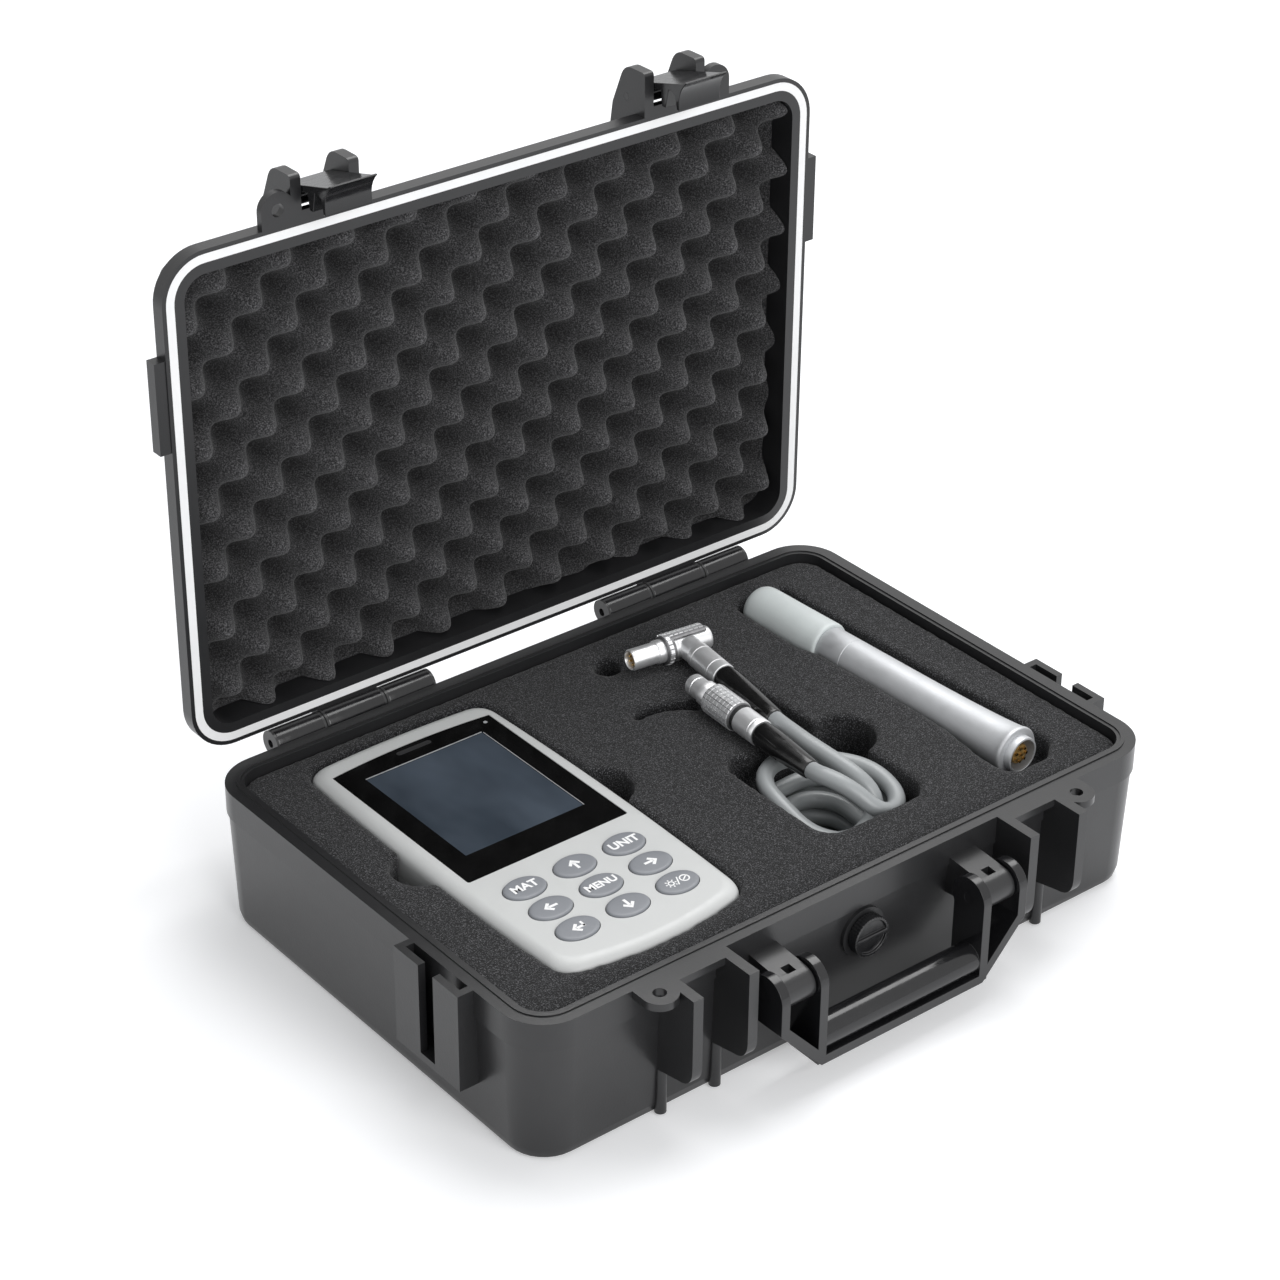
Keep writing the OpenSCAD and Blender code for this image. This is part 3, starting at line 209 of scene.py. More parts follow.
# The last argument is the Y range of the painted shade, from the peaks to the hollows.
CRATE = foam_material("crate_foam", (0.02, 0.02, 0.021), (0.05, 0.049, 0.051), (0.086, 0.084, 0.087),
                      (0.15, 0.15, 0.155), 1900, 0.0003, (0.1095, 0.1245))
GASKET = surface("white_gasket", (0.93, 0.93, 0.93), 0.6, vary=0.02, grain=700)
RUBBER = surface("black_rubber", (0.008, 0.008, 0.008), 0.2, grain=400, grain_depth=0.00003)
SHELL = surface("gauge_plastic", (0.58, 0.588, 0.582), 0.42, vary=0.015, grain=2500, grain_depth=0.00004)
WINDOW = surface("window_panel", (0.004, 0.004, 0.004), 0.1, vary=0.2, grain_depth=0, rough_vary=0.03)
# Light grey for the status lamp's lens, and as a painted highlight along the display's far and right glass edges.
EDGE_GLINT_AND_LAMP = surface("painted_edge_glint_and_lamp_lens", (0.42, 0.43, 0.44), 0.3, vary=0.2, vary_scale=200, grain_depth=0)
KEY = surface("key_plastic", (0.22, 0.23, 0.25), 0.42, vary=0.03, grain=2500, grain_depth=0.00003)
LEGEND = surface("white_print", (0.9, 0.9, 0.9), 0.5, vary=0.01, grain_depth=0)
# Dark for the speaker slot, and as painted shade in the straight plug's gap between sleeve and nut.
DARK = surface("dark_gap", (0.008, 0.008, 0.009), 0.6, grain_depth=0)
BOARD = surface("circuit_board", (0.02, 0.12, 0.05), 0.4)
CELL = surface("cell_print", (0.07, 0.1, 0.22), 0.35, metal=0.4)
MAT = surface("silicone_mat", (0.22, 0.22, 0.23), 0.6)
STEEL = surface("pin_steel", (0.55, 0.56, 0.58), 0.32, metal=1.0)
PLATED = surface("plug_plating", (0.80, 0.805, 0.815), 0.36, metal=0.72, vary=0.02, vary_scale=120, grain=900,
                 grain_depth=0.000006, rough_vary=0.03)
# Painted shade: the plated metal darkened for the grooves between the knurl pads, where shade falls.
KNURL_GROOVE_SHADE = surface("knurl_groove_painted_shade", (0.16, 0.16, 0.165), 0.45, metal=0.6, vary=0.1, vary_scale=200, grain_depth=0)
ANODISED = surface("anodised_tube", (0.54, 0.55, 0.565), 0.52, metal=0.6, vary=0.02, grain=1800,
                   grain_depth=0.00002)
GOLD = surface("gold_contact", (0.75, 0.52, 0.22), 0.25, metal=1.0)
INSULATOR = surface("amber_insulator", (0.24, 0.15, 0.05), 0.4, metal=0.2, vary=0.2, vary_scale=500)
CAP = surface("milky_cap", (0.64, 0.68, 0.675), 0.4, vary=0.04, vary_scale=60, grain=300, grain_depth=0.00006,
              Subsurface_Weight=0.25, Subsurface_Radius=(0.004, 0.004, 0.004))
CABLE = surface("cable_sheath", (0.31, 0.325, 0.33), 0.34, vary=0.05, vary_scale=40, grain=600,
                grain_depth=0.00003)
RED = surface("red_dot", (0.5, 0.02, 0.02), 0.4, grain_depth=0)


def display_material():
    """Dark display with a faint blue cloud across it."""
    made, tree, bsdf = new_material("display")
    cloud = noise(tree, 28, 3.0, (1, 0.5, 1))
    tree.links.new(ramp(tree, cloud, [(0.35, (0.036, 0.047, 0.062)), (0.65, (0.08, 0.1, 0.128))]),
                   bsdf.inputs["Base Color"])
    bsdf.inputs["Roughness"].default_value = 0.16
    bsdf.inputs["Coat Weight"].default_value = 0.5
    return made


DISPLAY = display_material()


# Mesh helpers

def finish_mesh(name, bm, material, body, smooth_angle=40.0, replaces=()):
    bmesh.ops.recalc_face_normals(bm, faces=bm.faces)
    data = bpy.data.meshes.new(name)
    bm.to_mesh(data)
    bm.free()
    made = bpy.data.objects.new(name, data)
    bpy.context.scene.collection.objects.link(made)
    data.materials.append(material)
    smooth(data, smooth_angle)
    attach(made, body)
    if replaces:
        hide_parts(*replaces)
    return made


def smooth(data, angle):
    data.polygons.foreach_set("use_smooth", [True] * len(data.polygons))
    data.set_sharp_from_angle(angle=math.radians(angle))
    data.update()


def ring_strip(bm, rings, closed_ring=True):
    """Quads between successive rings of vertices."""
    for a, b in zip(rings, rings[1:]):
        n = len(a)
        for k in range(n if closed_ring else n - 1):
            m = (k + 1) % n
            bm.faces.new((a[k], a[m], b[m], b[k]))


def axes_of(direction, up=(0, 0, 1)):
    d = Vector(direction).normalized()
    side = d.cross(Vector(up)).normalized()
    return d, side, side.cross(d)


def lathe(bm, origin, direction, profile, segments=48):
    """Surface of revolution through (distance along, radius) points, all in millimetres."""
    d, side, up = axes_of(direction)
    rings = []
    for s, r in profile:
        centre = Vector(origin) + s * d
        if r < ON_AXIS:
            rings.append([bm.verts.new(centre * MM)] * segments)
            continue
        rings.append([bm.verts.new((centre + r * (math.cos(t) * side + math.sin(t) * up)) * MM)
                      for t in (2 * math.pi * k / segments for k in range(segments))])
    for a, b in zip(rings, rings[1:]):
        for k in range(segments):
            m = (k + 1) % segments
            corners = [a[k], a[m], b[m], b[k]]
            unique = list(dict.fromkeys(corners))
            if len(unique) > 2:
                bm.faces.new(unique)


def frustum(bm, base, top):
    """Small pad from four base corners and four top corners."""
    low = [bm.verts.new(Vector(p) * MM) for p in base]
    high = [bm.verts.new(Vector(p) * MM) for p in top]
    bm.faces.new(high)
    bm.faces.new(low[::-1])
    for k in range(4):
        m = (k + 1) % 4
        bm.faces.new((low[k], low[m], high[m], high[k]))


def knurl_pads(bm, origin, direction, r_low, r_high, s0, s1, rows, around, keep=lambda s, t: True):
    """Grid of raised pads round a sleeve."""
    d, side, up = axes_of(direction)
    pitch = (s1 - s0) / rows
    step = 2 * math.pi / around
    for i in range(rows):
        for k in range(around):
            s, t = s0 + (i + 0.5) * pitch, k * step
            if not keep(s, t):
                continue
            corners = []
            for r, share in ((r_low, 0.45), (r_high, 0.36)):
                corners.append([Vector(origin) + (s + a * pitch * share) * d
                                + r * (math.cos(t + b * step * share) * side + math.sin(t + b * step * share) * up)
                                for a, b in ((-1, -1), (1, -1), (1, 1), (-1, 1))])
            frustum(bm, *corners)


def prism(bm, points, z0, z1, inset_top=0.0):
    """Upright prism over a polygon, in millimetres."""
    centre = sum((Vector(p) for p in points), Vector((0, 0))) / len(points)
    low = [bm.verts.new(Vector((x, y, z0)) * MM) for x, y in points]
    high = []
    for p in points:
        v = Vector(p) - centre
        q = centre + v * (1 - inset_top / max(v.length, 1e-6))
        high.append(bm.verts.new(Vector((q.x, q.y, z1)) * MM))
    ring_strip(bm, [low, high])
    bm.faces.new(high)
    bm.faces.new(low[::-1])


# CAD pieces that keep their shape

WELD_GAP = 0.000004
SMOOTH_ANGLE, FLAT_ANGLE, BEVEL_ANGLE = 28, 1.0, 35.0
BEVEL_STEPS = 2


def dress(names, material, bevel=0.0):
    """Material, smooth shading and softened edges on CAD nodes."""
    for name in names.split():
        piece = cad[name]
        piece.data.materials.clear()
        piece.data.materials.append(material)
        smooth(piece.data, SMOOTH_ANGLE)
        if bevel:
            weld = piece.modifiers.new("weld", "WELD")
            weld.merge_threshold = WELD_GAP
            flat = piece.modifiers.new("flat", "DECIMATE")
            flat.decimate_type = "DISSOLVE"
            flat.angle_limit = math.radians(FLAT_ANGLE)
            soft = piece.modifiers.new("edges", "BEVEL")
            soft.width = bevel * MM
            soft.segments = BEVEL_STEPS
            soft.limit_method = "ANGLE"
            soft.angle_limit = math.radians(BEVEL_ANGLE)
            soft.use_clamp_overlap = True
            soft.harden_normals = False
            even = piece.modifiers.new("normals", "WEIGHTED_NORMAL")
            even.keep_sharp = False


dress("base_shell", CASE, 0.45)
dress("lid_shell", LID, 0.45)
dress("latch_left latch_right handle valve_knob", CASE_GLOSS, 0.3)
dress("valve_seal", RUBBER)
dress("lid_gasket", GASKET)
dress("hinge_pin_left hinge_pin_right latch_pin_left latch_pin_right handle_pin_left handle_pin_right", CASE_GLOSS)
dress("gauge_screws", STEEL)
dress("gauge_rear battery_cover", SHELL)
dress("gauge_lcd", DISPLAY)
dress("gauge_board", BOARD)
dress("keypad_mat", MAT)
dress("battery_pack", CELL)
dress("gauge_socket probe_tip", STEEL)
dress("probe_pins", GOLD)


# Base foam

FOAM_VOXEL = 1.4
FOAM_ROUGHNESS = 0.22


def cut_foam():
    """Soft copy of the cut foam: rounded edges and an uneven, open surface."""
    work = bpy.data.objects.new("foam_work", cad["base_foam"].data.copy())
    bpy.context.scene.collection.objects.link(work)
    remesh = work.modifiers.new("remesh", "REMESH")
    remesh.mode = "VOXEL"
    remesh.voxel_size = FOAM_VOXEL * MM
    relax = work.modifiers.new("relax", "SMOOTH")
    relax.factor, relax.iterations = 0.5, 1
    bpy.context.view_layer.update()
    data = bpy.data.meshes.new_from_object(work.evaluated_get(bpy.context.evaluated_depsgraph_get()))
    bpy.data.objects.remove(work)
    normals = [v.normal.copy() for v in data.vertices]
    for v, normal in zip(data.vertices, normals):
        swell = hills.noise(v.co * 420) + 0.6 * hills.noise(v.co * 1100)
        v.co += normal * FOAM_ROUGHNESS * MM * swell
    data.materials.clear()
    data.materials.append(FOAM)
    smooth(data, 180)
    made = bpy.data.objects.new("base_foam_cut", data)
    bpy.context.scene.collection.objects.link(made)
    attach(made, "base")
    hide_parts("base_foam")


cut_foam()


# Lid: from its closed place to its open one

HINGE_Y, HINGE_Z = 105.0, 59.2
LID_PLANE = 61.4


def opened(x, y, z):
    return Vector((x, HINGE_Y + (z - HINGE_Z), HINGE_Z + (HINGE_Y - y)))


ROW = Vector((27.05, -1.42))
COLUMN = Vector((1.5, 25.05))
PIT = Vector((3.0, -40.0))
FOAM_WAIST = 12.0
FOAM_BACK = 24.7
FOAM_TAPER = 9.6


def crate_depth(x, y):
    """Share of the way into a pit at a point of the lid."""
    v = Vector((x, y)) - PIT
    det = ROW.x * COLUMN.y - ROW.y * COLUMN.x
    a = (v.x * COLUMN.y - v.y * COLUMN.x) / det
    b = (ROW.x * v.y - ROW.y * v.x) / det
    return 0.5 + 0.5 * math.cos(2 * math.pi * a) * math.cos(2 * math.pi * b)


def crate_foam():
    """Egg-crate foam with a fine surface, inside its CAD solid's outline."""
    inset, depth, first = 9.3, 18.0, 1.6
    half_l, half_w = 147 - inset, 100 - inset
    corner = 18 - inset
    step = 1.35
    nx, ny = int(2 * half_l / step), int(2 * half_w / step)
    bm = bmesh.new()
    grid = []
    for j in range(ny + 1):
        y = -half_w + 2 * half_w * j / ny
        over = max(abs(y) - (half_w - corner), 0)
        half = half_l - corner + math.sqrt(max(corner * corner - over * over, 0))
        row = []
        for i in range(nx + 1):
            x = half * (2 * i / nx - 1)
            fuzz = 0.12 * hills.noise(Vector((x, y, 0)) * 0.9)
            deep = first + 0.12 + depth * crate_depth(x, y) + fuzz
            rim = min(half - abs(x), half_w - abs(y))
            deep = min(deep, FOAM_WAIST - 0.4 + 0.8 * rim * (FOAM_BACK - FOAM_WAIST) / FOAM_TAPER)
            row.append(bm.verts.new(opened(x, y, LID_PLANE + deep) * MM))
        grid.append(row)
    ring_strip(bm, grid, closed_ring=False)
    edge = (grid[0] + [r[-1] for r in grid[1:]] + grid[-1][-2::-1] + [r[0] for r in grid[-2:0:-1]])
    waist, back = [], []
    middle_z = HINGE_Z + HINGE_Y
    plane_y = HINGE_Y - HINGE_Z + LID_PLANE
    for v in edge:
        p = v.co / MM
        waist.append(bm.verts.new(Vector((p.x, plane_y + FOAM_WAIST, p.z)) * MM))
        back.append(bm.verts.new(Vector((p.x * (1 - FOAM_TAPER / half_l), plane_y + FOAM_BACK,
                                         middle_z + (p.z - middle_z) * (1 - FOAM_TAPER / half_w))) * MM))
    ring_strip(bm, [edge, waist, back])
    bm.faces.new(back)
    made = finish_mesh("lid_foam_crate", bm, CRATE, "lid", 60, ["lid_foam"])
    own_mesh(made)


crate_foam()


# Hinge barrels

def hinge_barrels():
    for side, word in ((-1, "left"), (1, "right")):
        for x0, x1, body, part in ((42.6, 65.0, "base", "inner"), (65.4, 92.6, "lid", "middle"),
                                   (93.0, 115.4, "base", "outer")):
            bm = bmesh.new()
            start, end = sorted((side * x0, side * x1))
            r, l = 5.26, end - start
            lathe(bm, (start, HINGE_Y, HINGE_Z), (1, 0, 0),
                  [(0.03, 1.7), (0.03, r - 1.1), (0.3, r - 0.45), (0.8, r - 0.1), (1.4, r), (l - 1.4, r),
                   (l - 0.8, r - 0.1), (l - 0.3, r - 0.45), (l - 0.03, r - 1.1), (l - 0.03, 1.7)], 48)
            finish_mesh("hinge_barrel_%s_%s" % (word, part), bm, CASE_GLOSS, body, 40)


hinge_barrels()


# Gauge

GAUGE_X = -74.0
GAUGE_W, GAUGE_L = 82.0, 156.6
GAUGE_LOW = -74.0
GAUGE_HIGH = GAUGE_LOW + GAUGE_L
GAUGE_TOP = 58.5
GAUGE_PART = 46.0
GAUGE_ROUND = 8.0
BOWS = (6.0, 2.0, 1.8, 2.0)
KEY_A, KEY_B = 8.55, 6.2
KEY_DX, KEY_DY, KEY_Y = 22.3, 15.2, -43.3
KEY_TOP = GAUGE_TOP + 0.9
CORNERS = [Vector(p) for p in ((-GAUGE_W / 2, GAUGE_LOW), (GAUGE_W / 2, GAUGE_LOW),
                               (GAUGE_W / 2, GAUGE_HIGH), (-GAUGE_W / 2, GAUGE_HIGH))]


def gauge_side(i, t):
    a, d = CORNERS[i], CORNERS[(i + 1) % 4] - CORNERS[i]
    out = Vector((d.y, -d.x)) / d.length
    return a + d * t + out * 4 * BOWS[i] * t * (1 - t)


def gauge_outline(inset, along=16, turn=10):
    points = []
    cuts = [GAUGE_ROUND / (CORNERS[(i + 1) % 4] - CORNERS[i]).length for i in range(4)]
    for i in range(4):
        c, m = cuts[i], (i + 1) % 4
        points += [gauge_side(i, c + (1 - 2 * c) * k / along) for k in range(along + 1)]
        a, b, e = gauge_side(i, 1 - c), gauge_side(i, 1), gauge_side(m, cuts[m])
        for k in range(1, turn):
            t = k / turn
            points.append((1 - t) ** 2 * a + 2 * t * (1 - t) * b + t * t * e)
    return [Vector((GAUGE_X + p.x * (1 - 2 * inset / GAUGE_W), p.y * (1 - 2 * inset / GAUGE_L)))
            for p in points]


def ellipse(cx, cy, a, b, n=64):
    return [Vector((cx + a * math.cos(2 * math.pi * k / n), cy + b * math.sin(2 * math.pi * k / n)))
            for k in range(n)]


WINDOW_W, WINDOW_LOW, WINDOW_HIGH = 71.6, -13.1, 74.2
LCD_W, LCD_L = 53.0, 62.1
SLOT_HALF, SLOT_Y = 6.6, 70.6
LCD_Y = (WINDOW_LOW + WINDOW_HIGH) / 2 + 1.7


def window_outline(grow):
    """Window with slightly rounded corners and an arched far edge."""
    w, low, high = WINDOW_W / 2 + grow, WINDOW_LOW - grow, WINDOW_HIGH + grow
    points = []
    r = 1.0
    for cx, cy, a0 in ((-w + r, low + r, 180), (w - r, low + r, 270)):
        points += [Vector((cx + r * math.cos(math.radians(a0 + k * 15)),
                           cy + r * math.sin(math.radians(a0 + k * 15)))) for k in range(7)]
    for k in range(13):
        t = k / 12
        points.append(Vector((w - 2 * w * t, high - 2.2 + 4 * t * (1 - t) * 2.2)))
    return [Vector((GAUGE_X + p.x, p.y)) for p in points]


def gauge_front():
    """Front shell with a rounded face edge, window recess and key holes."""
    bm = bmesh.new()
    edge = 5.0

    def ring(points, z):
        return [bm.verts.new(Vector((p.x, p.y, z)) * MM) for p in points]

    rings = [ring(gauge_outline(2.4), GAUGE_PART), ring(gauge_outline(0.25), GAUGE_PART),
             ring(gauge_outline(0.0), GAUGE_PART + 0.3)]
    for k in range(11):
        t = math.radians(9 * k)
        rings.append(ring(gauge_outline(0.96 * edge * (1 - math.cos(t))),
                          GAUGE_TOP - edge * (1 - math.sin(t))))
    ring_strip(bm, rings)
    holes = [(window_outline(0.15), 1.2)]
    for i in (-1, 0, 1):
        for j in (-1, 0, 1):
            holes.append((ellipse(GAUGE_X + i * KEY_DX, KEY_Y + j * KEY_DY, KEY_A + 0.3, KEY_B + 0.3), 2.4))
    loops = [rings[-1]]
    for points, depth in holes:
        top = ring(points, GAUGE_TOP)
        low = ring(points, GAUGE_TOP - depth)
        ring_strip(bm, [top, low])
        loops.append(top)
    edges = []
    for loop in loops:
        for k, v in enumerate(loop):
            pair = (v, loop[(k + 1) % len(loop)])
            edges.append(bm.edges.get(pair) or bm.edges.new(pair))
    bmesh.ops.triangle_fill(bm, edges=edges, use_beauty=True, normal=(0, 0, 1))
    made = finish_mesh("gauge_front_shell", bm, SHELL, "base", 50, ["gauge_front"])
    even = made.modifiers.new("normals", "WEIGHTED_NORMAL")
    even.keep_sharp = True


gauge_front()


def window_parts():
    bm = bmesh.new()
    prism(bm, window_outline(0.0), GAUGE_TOP - 1.2, GAUGE_TOP - 0.1, 0.15)
    finish_mesh("gauge_window_panel", bm, WINDOW, "base", 30, ["gauge_window"])
    bm = bmesh.new()
    x0, x1, y0, y1 = GAUGE_X - LCD_W / 2, GAUGE_X + LCD_W / 2, LCD_Y - LCD_L / 2, LCD_Y + LCD_L / 2
    prism(bm, [(x0, y0), (x1, y0), (x1, y1), (x0, y1)], GAUGE_TOP - 0.25, GAUGE_TOP - 0.07)
    finish_mesh("display_area", bm, DISPLAY, "base", 30)
    # Painted highlight: light strips along the display's far and right edges, where the glass edge catches the light.
    bm = bmesh.new()
    for xa, xb, ya, yb in ((x0, x1, y1 + 0.3, y1 + 0.85), (x1 + 0.3, x1 + 0.6, y0, y1)):
        prism(bm, [(xa, ya), (xb, ya), (xb, yb), (xa, yb)], GAUGE_TOP - 0.25, GAUGE_TOP - 0.06)
    finish_mesh("display_edge_painted_glint", bm, EDGE_GLINT_AND_LAMP, "base", 30)
    bm = bmesh.new()
    prism(bm, ellipse(GAUGE_X + 31.8, 68.6, 0.8, 0.8, 24), GAUGE_TOP - 0.3, GAUGE_TOP - 0.04)
    finish_mesh("status_lamp", bm, EDGE_GLINT_AND_LAMP, "base", 30)
    bm = bmesh.new()
    lip = []
    for cx, a0 in ((SLOT_HALF, -90), (-SLOT_HALF, 90)):
        lip += [(GAUGE_X + cx, SLOT_Y, math.radians(a0 + 15 * k)) for k in range(13)]
    rings = [[bm.verts.new(Vector((cx + r * math.cos(t), cy + r * math.sin(t), GAUGE_TOP - drop)) * MM)
              for cx, cy, t in lip] for r, drop in ((1.2, 0.07), (0.85, 0.06), (0.8, 0.09))]
    ring_strip(bm, rings)
    bm.faces.new(rings[-1])
    finish_mesh("speaker_slot", bm, DARK, "base", 30)


window_parts()


def key_cap(name, column, row):
    """Oval key with a soft edge and a low dome."""
    bm = bmesh.new()
    cx, cy = GAUGE_X + column * KEY_DX, KEY_Y + row * KEY_DY
    rings = []
    for share, drop in ((1.0, 3.2), (1.0, 0.62), (0.985, 0.34), (0.955, 0.16), (0.91, 0.06),
                        (0.8, 0.02), (0.5, -0.03), (0.2, -0.05)):
        rings.append([bm.verts.new(Vector((p.x, p.y, KEY_TOP - drop)) * MM)
                      for p in ellipse(cx, cy, KEY_A * share, KEY_B * share)])
    ring_strip(bm, rings)
    bm.faces.new(rings[-1])
    finish_mesh(name + "_cap", bm, KEY, name, 40, [name])


LEGEND_Z = KEY_TOP + 0.02
LEGEND_T = 0.08


def legend_text(name, words, column, row, size):
    curve = bpy.data.curves.new(name + "_legend", "FONT")
    curve.body = words
    curve.size = size * MM
    curve.align_x, curve.align_y = "CENTER", "CENTER"
    curve.offset = 0.034 * size * MM
    curve.extrude = LEGEND_T * MM
    made = bpy.data.objects.new(name + "_words", curve)
    bpy.context.scene.collection.objects.link(made)
    made.location = Vector((GAUGE_X + column * KEY_DX, KEY_Y + row * KEY_DY, LEGEND_Z)) * MM
    bpy.context.view_layer.update()
    data = bpy.data.meshes.new_from_object(made.evaluated_get(bpy.context.evaluated_depsgraph_get()))
    place = made.matrix_world.copy()
    bpy.data.objects.remove(made)
    data.transform(place)
    data.materials.clear()
    data.materials.append(LEGEND)
    mesh = bpy.data.objects.new(name + "_legend", data)
    bpy.context.scene.collection.objects.link(mesh)
    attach(mesh, name)


def legend_shape(name, column, row, polygons):
    bm = bmesh.new()
    for points in polygons:
        prism(bm, [(GAUGE_X + column * KEY_DX + x, KEY_Y + row * KEY_DY + y) for x, y in points],
              LEGEND_Z - LEGEND_T, LEGEND_Z + LEGEND_T)
    finish_mesh(name + "_legend", bm, LEGEND, name, 30)


def turned(points, quarter):
    c, s = ((1, 0), (0, 1), (-1, 0), (0, -1))[quarter % 4]
    return [(x * c - y * s, x * s + y * c) for x, y in points]


ARROW = [[(-2.8, -0.55), (1.2, -0.55), (1.2, 0.55), (-2.8, 0.55)],
         [(0.4, 2.5), (-0.5, 1.75), (1.2, 0.0), (2.95, 0.0)],
         [(0.4, -2.5), (2.95, 0.0), (1.2, 0.0), (-0.5, -1.75)]]


def arc_band(cx, cy, r, a0, a1, width, n=20):
    """Bent strip, as quads."""
    quads = []
    for k in range(n):
        t0, t1 = (math.radians(a0 + (a1 - a0) * (k + e) / n) for e in (0, 1))
        quads.append([(cx + q * math.cos(t), cy + q * math.sin(t))
                      for q, t in ((r - width / 2, t0), (r + width / 2, t0),
                                   (r + width / 2, t1), (r - width / 2, t1))])
    return quads


def spoke(cx, cy, angle, r0, r1, width):
    c, s = math.cos(math.radians(angle)), math.sin(math.radians(angle))
    return [(cx + r * c - e * width / 2 * s, cy + r * s + e * width / 2 * c)
            for r, e in ((r0, -1), (r1, -1), (r1, 1), (r0, 1))]


def keypad():
    for name, column, row in (("key_material", -1, 1), ("key_up_arrow", 0, 1), ("key_unit", 1, 1),
                              ("key_left_arrow", -1, 0), ("key_menu", 0, 0), ("key_right_arrow", 1, 0),
                              ("key_enter", -1, -1), ("key_down_arrow", 0, -1), ("key_power", 1, -1)):
        key_cap(name, column, row)
    legend_text("key_material", "MAT", -1, 1, 5.4)
    legend_text("key_unit", "UNIT", 1, 1, 5.4)
    legend_text("key_menu", "MENU", 0, 0, 4.9)
    for name, column, row, quarter in (("key_right_arrow", 1, 0, 0), ("key_up_arrow", 0, 1, 1),
                                       ("key_left_arrow", -1, 0, 2), ("key_down_arrow", 0, -1, 3)):
        legend_shape(name, column, row, [turned(p, quarter) for p in ARROW])
    hook = [[(x + 0.2, y - 0.5) for x, y in turned(p, 2)] for p in ARROW]
    hook.append([(2.0, -0.95), (2.9, -0.95), (2.9, 2.0), (2.0, 2.0)])
    legend_shape("key_enter", -1, -1, hook)
    sun = arc_band(-2.9, 0, 1.05, 0, 360, 0.5, 24) + [spoke(-2.9, 0, a, 1.6, 2.3, 0.5) for a in range(0, 360, 45)]
    ring = arc_band(3.1, 0, 1.75, 0, 360, 0.55, 28) + [spoke(3.1, 0, 35, -1.7, 1.7, 0.5)]
    stroke = [spoke(0.1, 0, 65, -2.3, 2.3, 0.5)]
    legend_shape("key_power", 1, -1, sun + ring + stroke)


keypad()


# Plugs

PLUG_Z = 63.4
ELBOW = Vector((48.9, 60.5, PLUG_Z))
ELBOW_TURN = math.radians(-7.2)
NOSE_WAY = Vector((-math.cos(ELBOW_TURN), -math.sin(ELBOW_TURN), 0))
LEG_WAY = Vector((math.sin(ELBOW_TURN), -math.cos(ELBOW_TURN), 0))
LEG_L = 29.0
ELBOW_BOOT_L = 35.5
STRAIGHT = Vector((32.7, 35.3, PLUG_Z))
STRAIGHT_TURN = math.radians(-3.3)
STRAIGHT_WAY = Vector((math.sin(STRAIGHT_TURN), -math.cos(STRAIGHT_TURN), 0))
STRAIGHT_L = 43.5
STRAIGHT_BOOT_L = 30.3


def boot_profile(length):
    """Plain root, long taper and a rolled end."""
    points = [(0, 0), (0, 4.75), (0.3, 4.95), (1.2, 5.05), (6, 5.1)]
    for k in range(1, 11):
        t = k / 10
        points.append((6 * (1 - t) ** 2 + t * (1 - t) * length + (length - 0.9) * t * t,
                       5.1 * (1 - t) ** 2 + 2 * t * (1 - t) * 4.9 + 3.9 * t * t))
    return points + [(length - 0.3, 3.75), (length, 3.5), (length, 0)]


def boot(name, origin, way, length):
    """Moulded boot with long raised flats round its thick end."""
    bm = bmesh.new()
    lathe(bm, origin, way, boot_profile(length), 48)
    d, side, up = axes_of(way)
    for k in range(6):
        t = math.pi / 3 * k + 0.5
        rows = []
        for s, r in ((1.6, 5.05), (6, 5.1), (10, 5.02), (14, 4.9)):
            half = 0.3 * (1 - s / 22)
            rows.append([bm.verts.new((Vector(origin) + s * d + (r + e) * (math.cos(t + a * half) * side
                                                                         + math.sin(t + a * half) * up)) * MM)
                         for a, e in ((-1, -0.12), (-0.8, 0.1), (0, 0.13), (0.8, 0.1), (1, -0.12))])
        ring_strip(bm, rows, closed_ring=False)
        bm.faces.new(rows[0])
        bm.faces.new(rows[-1][::-1])
    return finish_mesh(name + "_moulded", bm, RUBBER, "base", 40, [name])


def plug_pins(name, origin, way, s, ring_r, count, length):
    d, side, up = axes_of(way)
    bm = bmesh.new()
    for k in range(count):
        t = 2 * math.pi * k / count + 0.2
        foot = Vector(origin) + s * d + ring_r * (math.cos(t) * side + math.sin(t) * up)
        lathe(bm, foot, way, [(0, 0), (0, 0.45), (length - 0.2, 0.45), (length, 0.25), (length, 0)], 12)
    return finish_mesh(name, bm, GOLD, "base", 35)


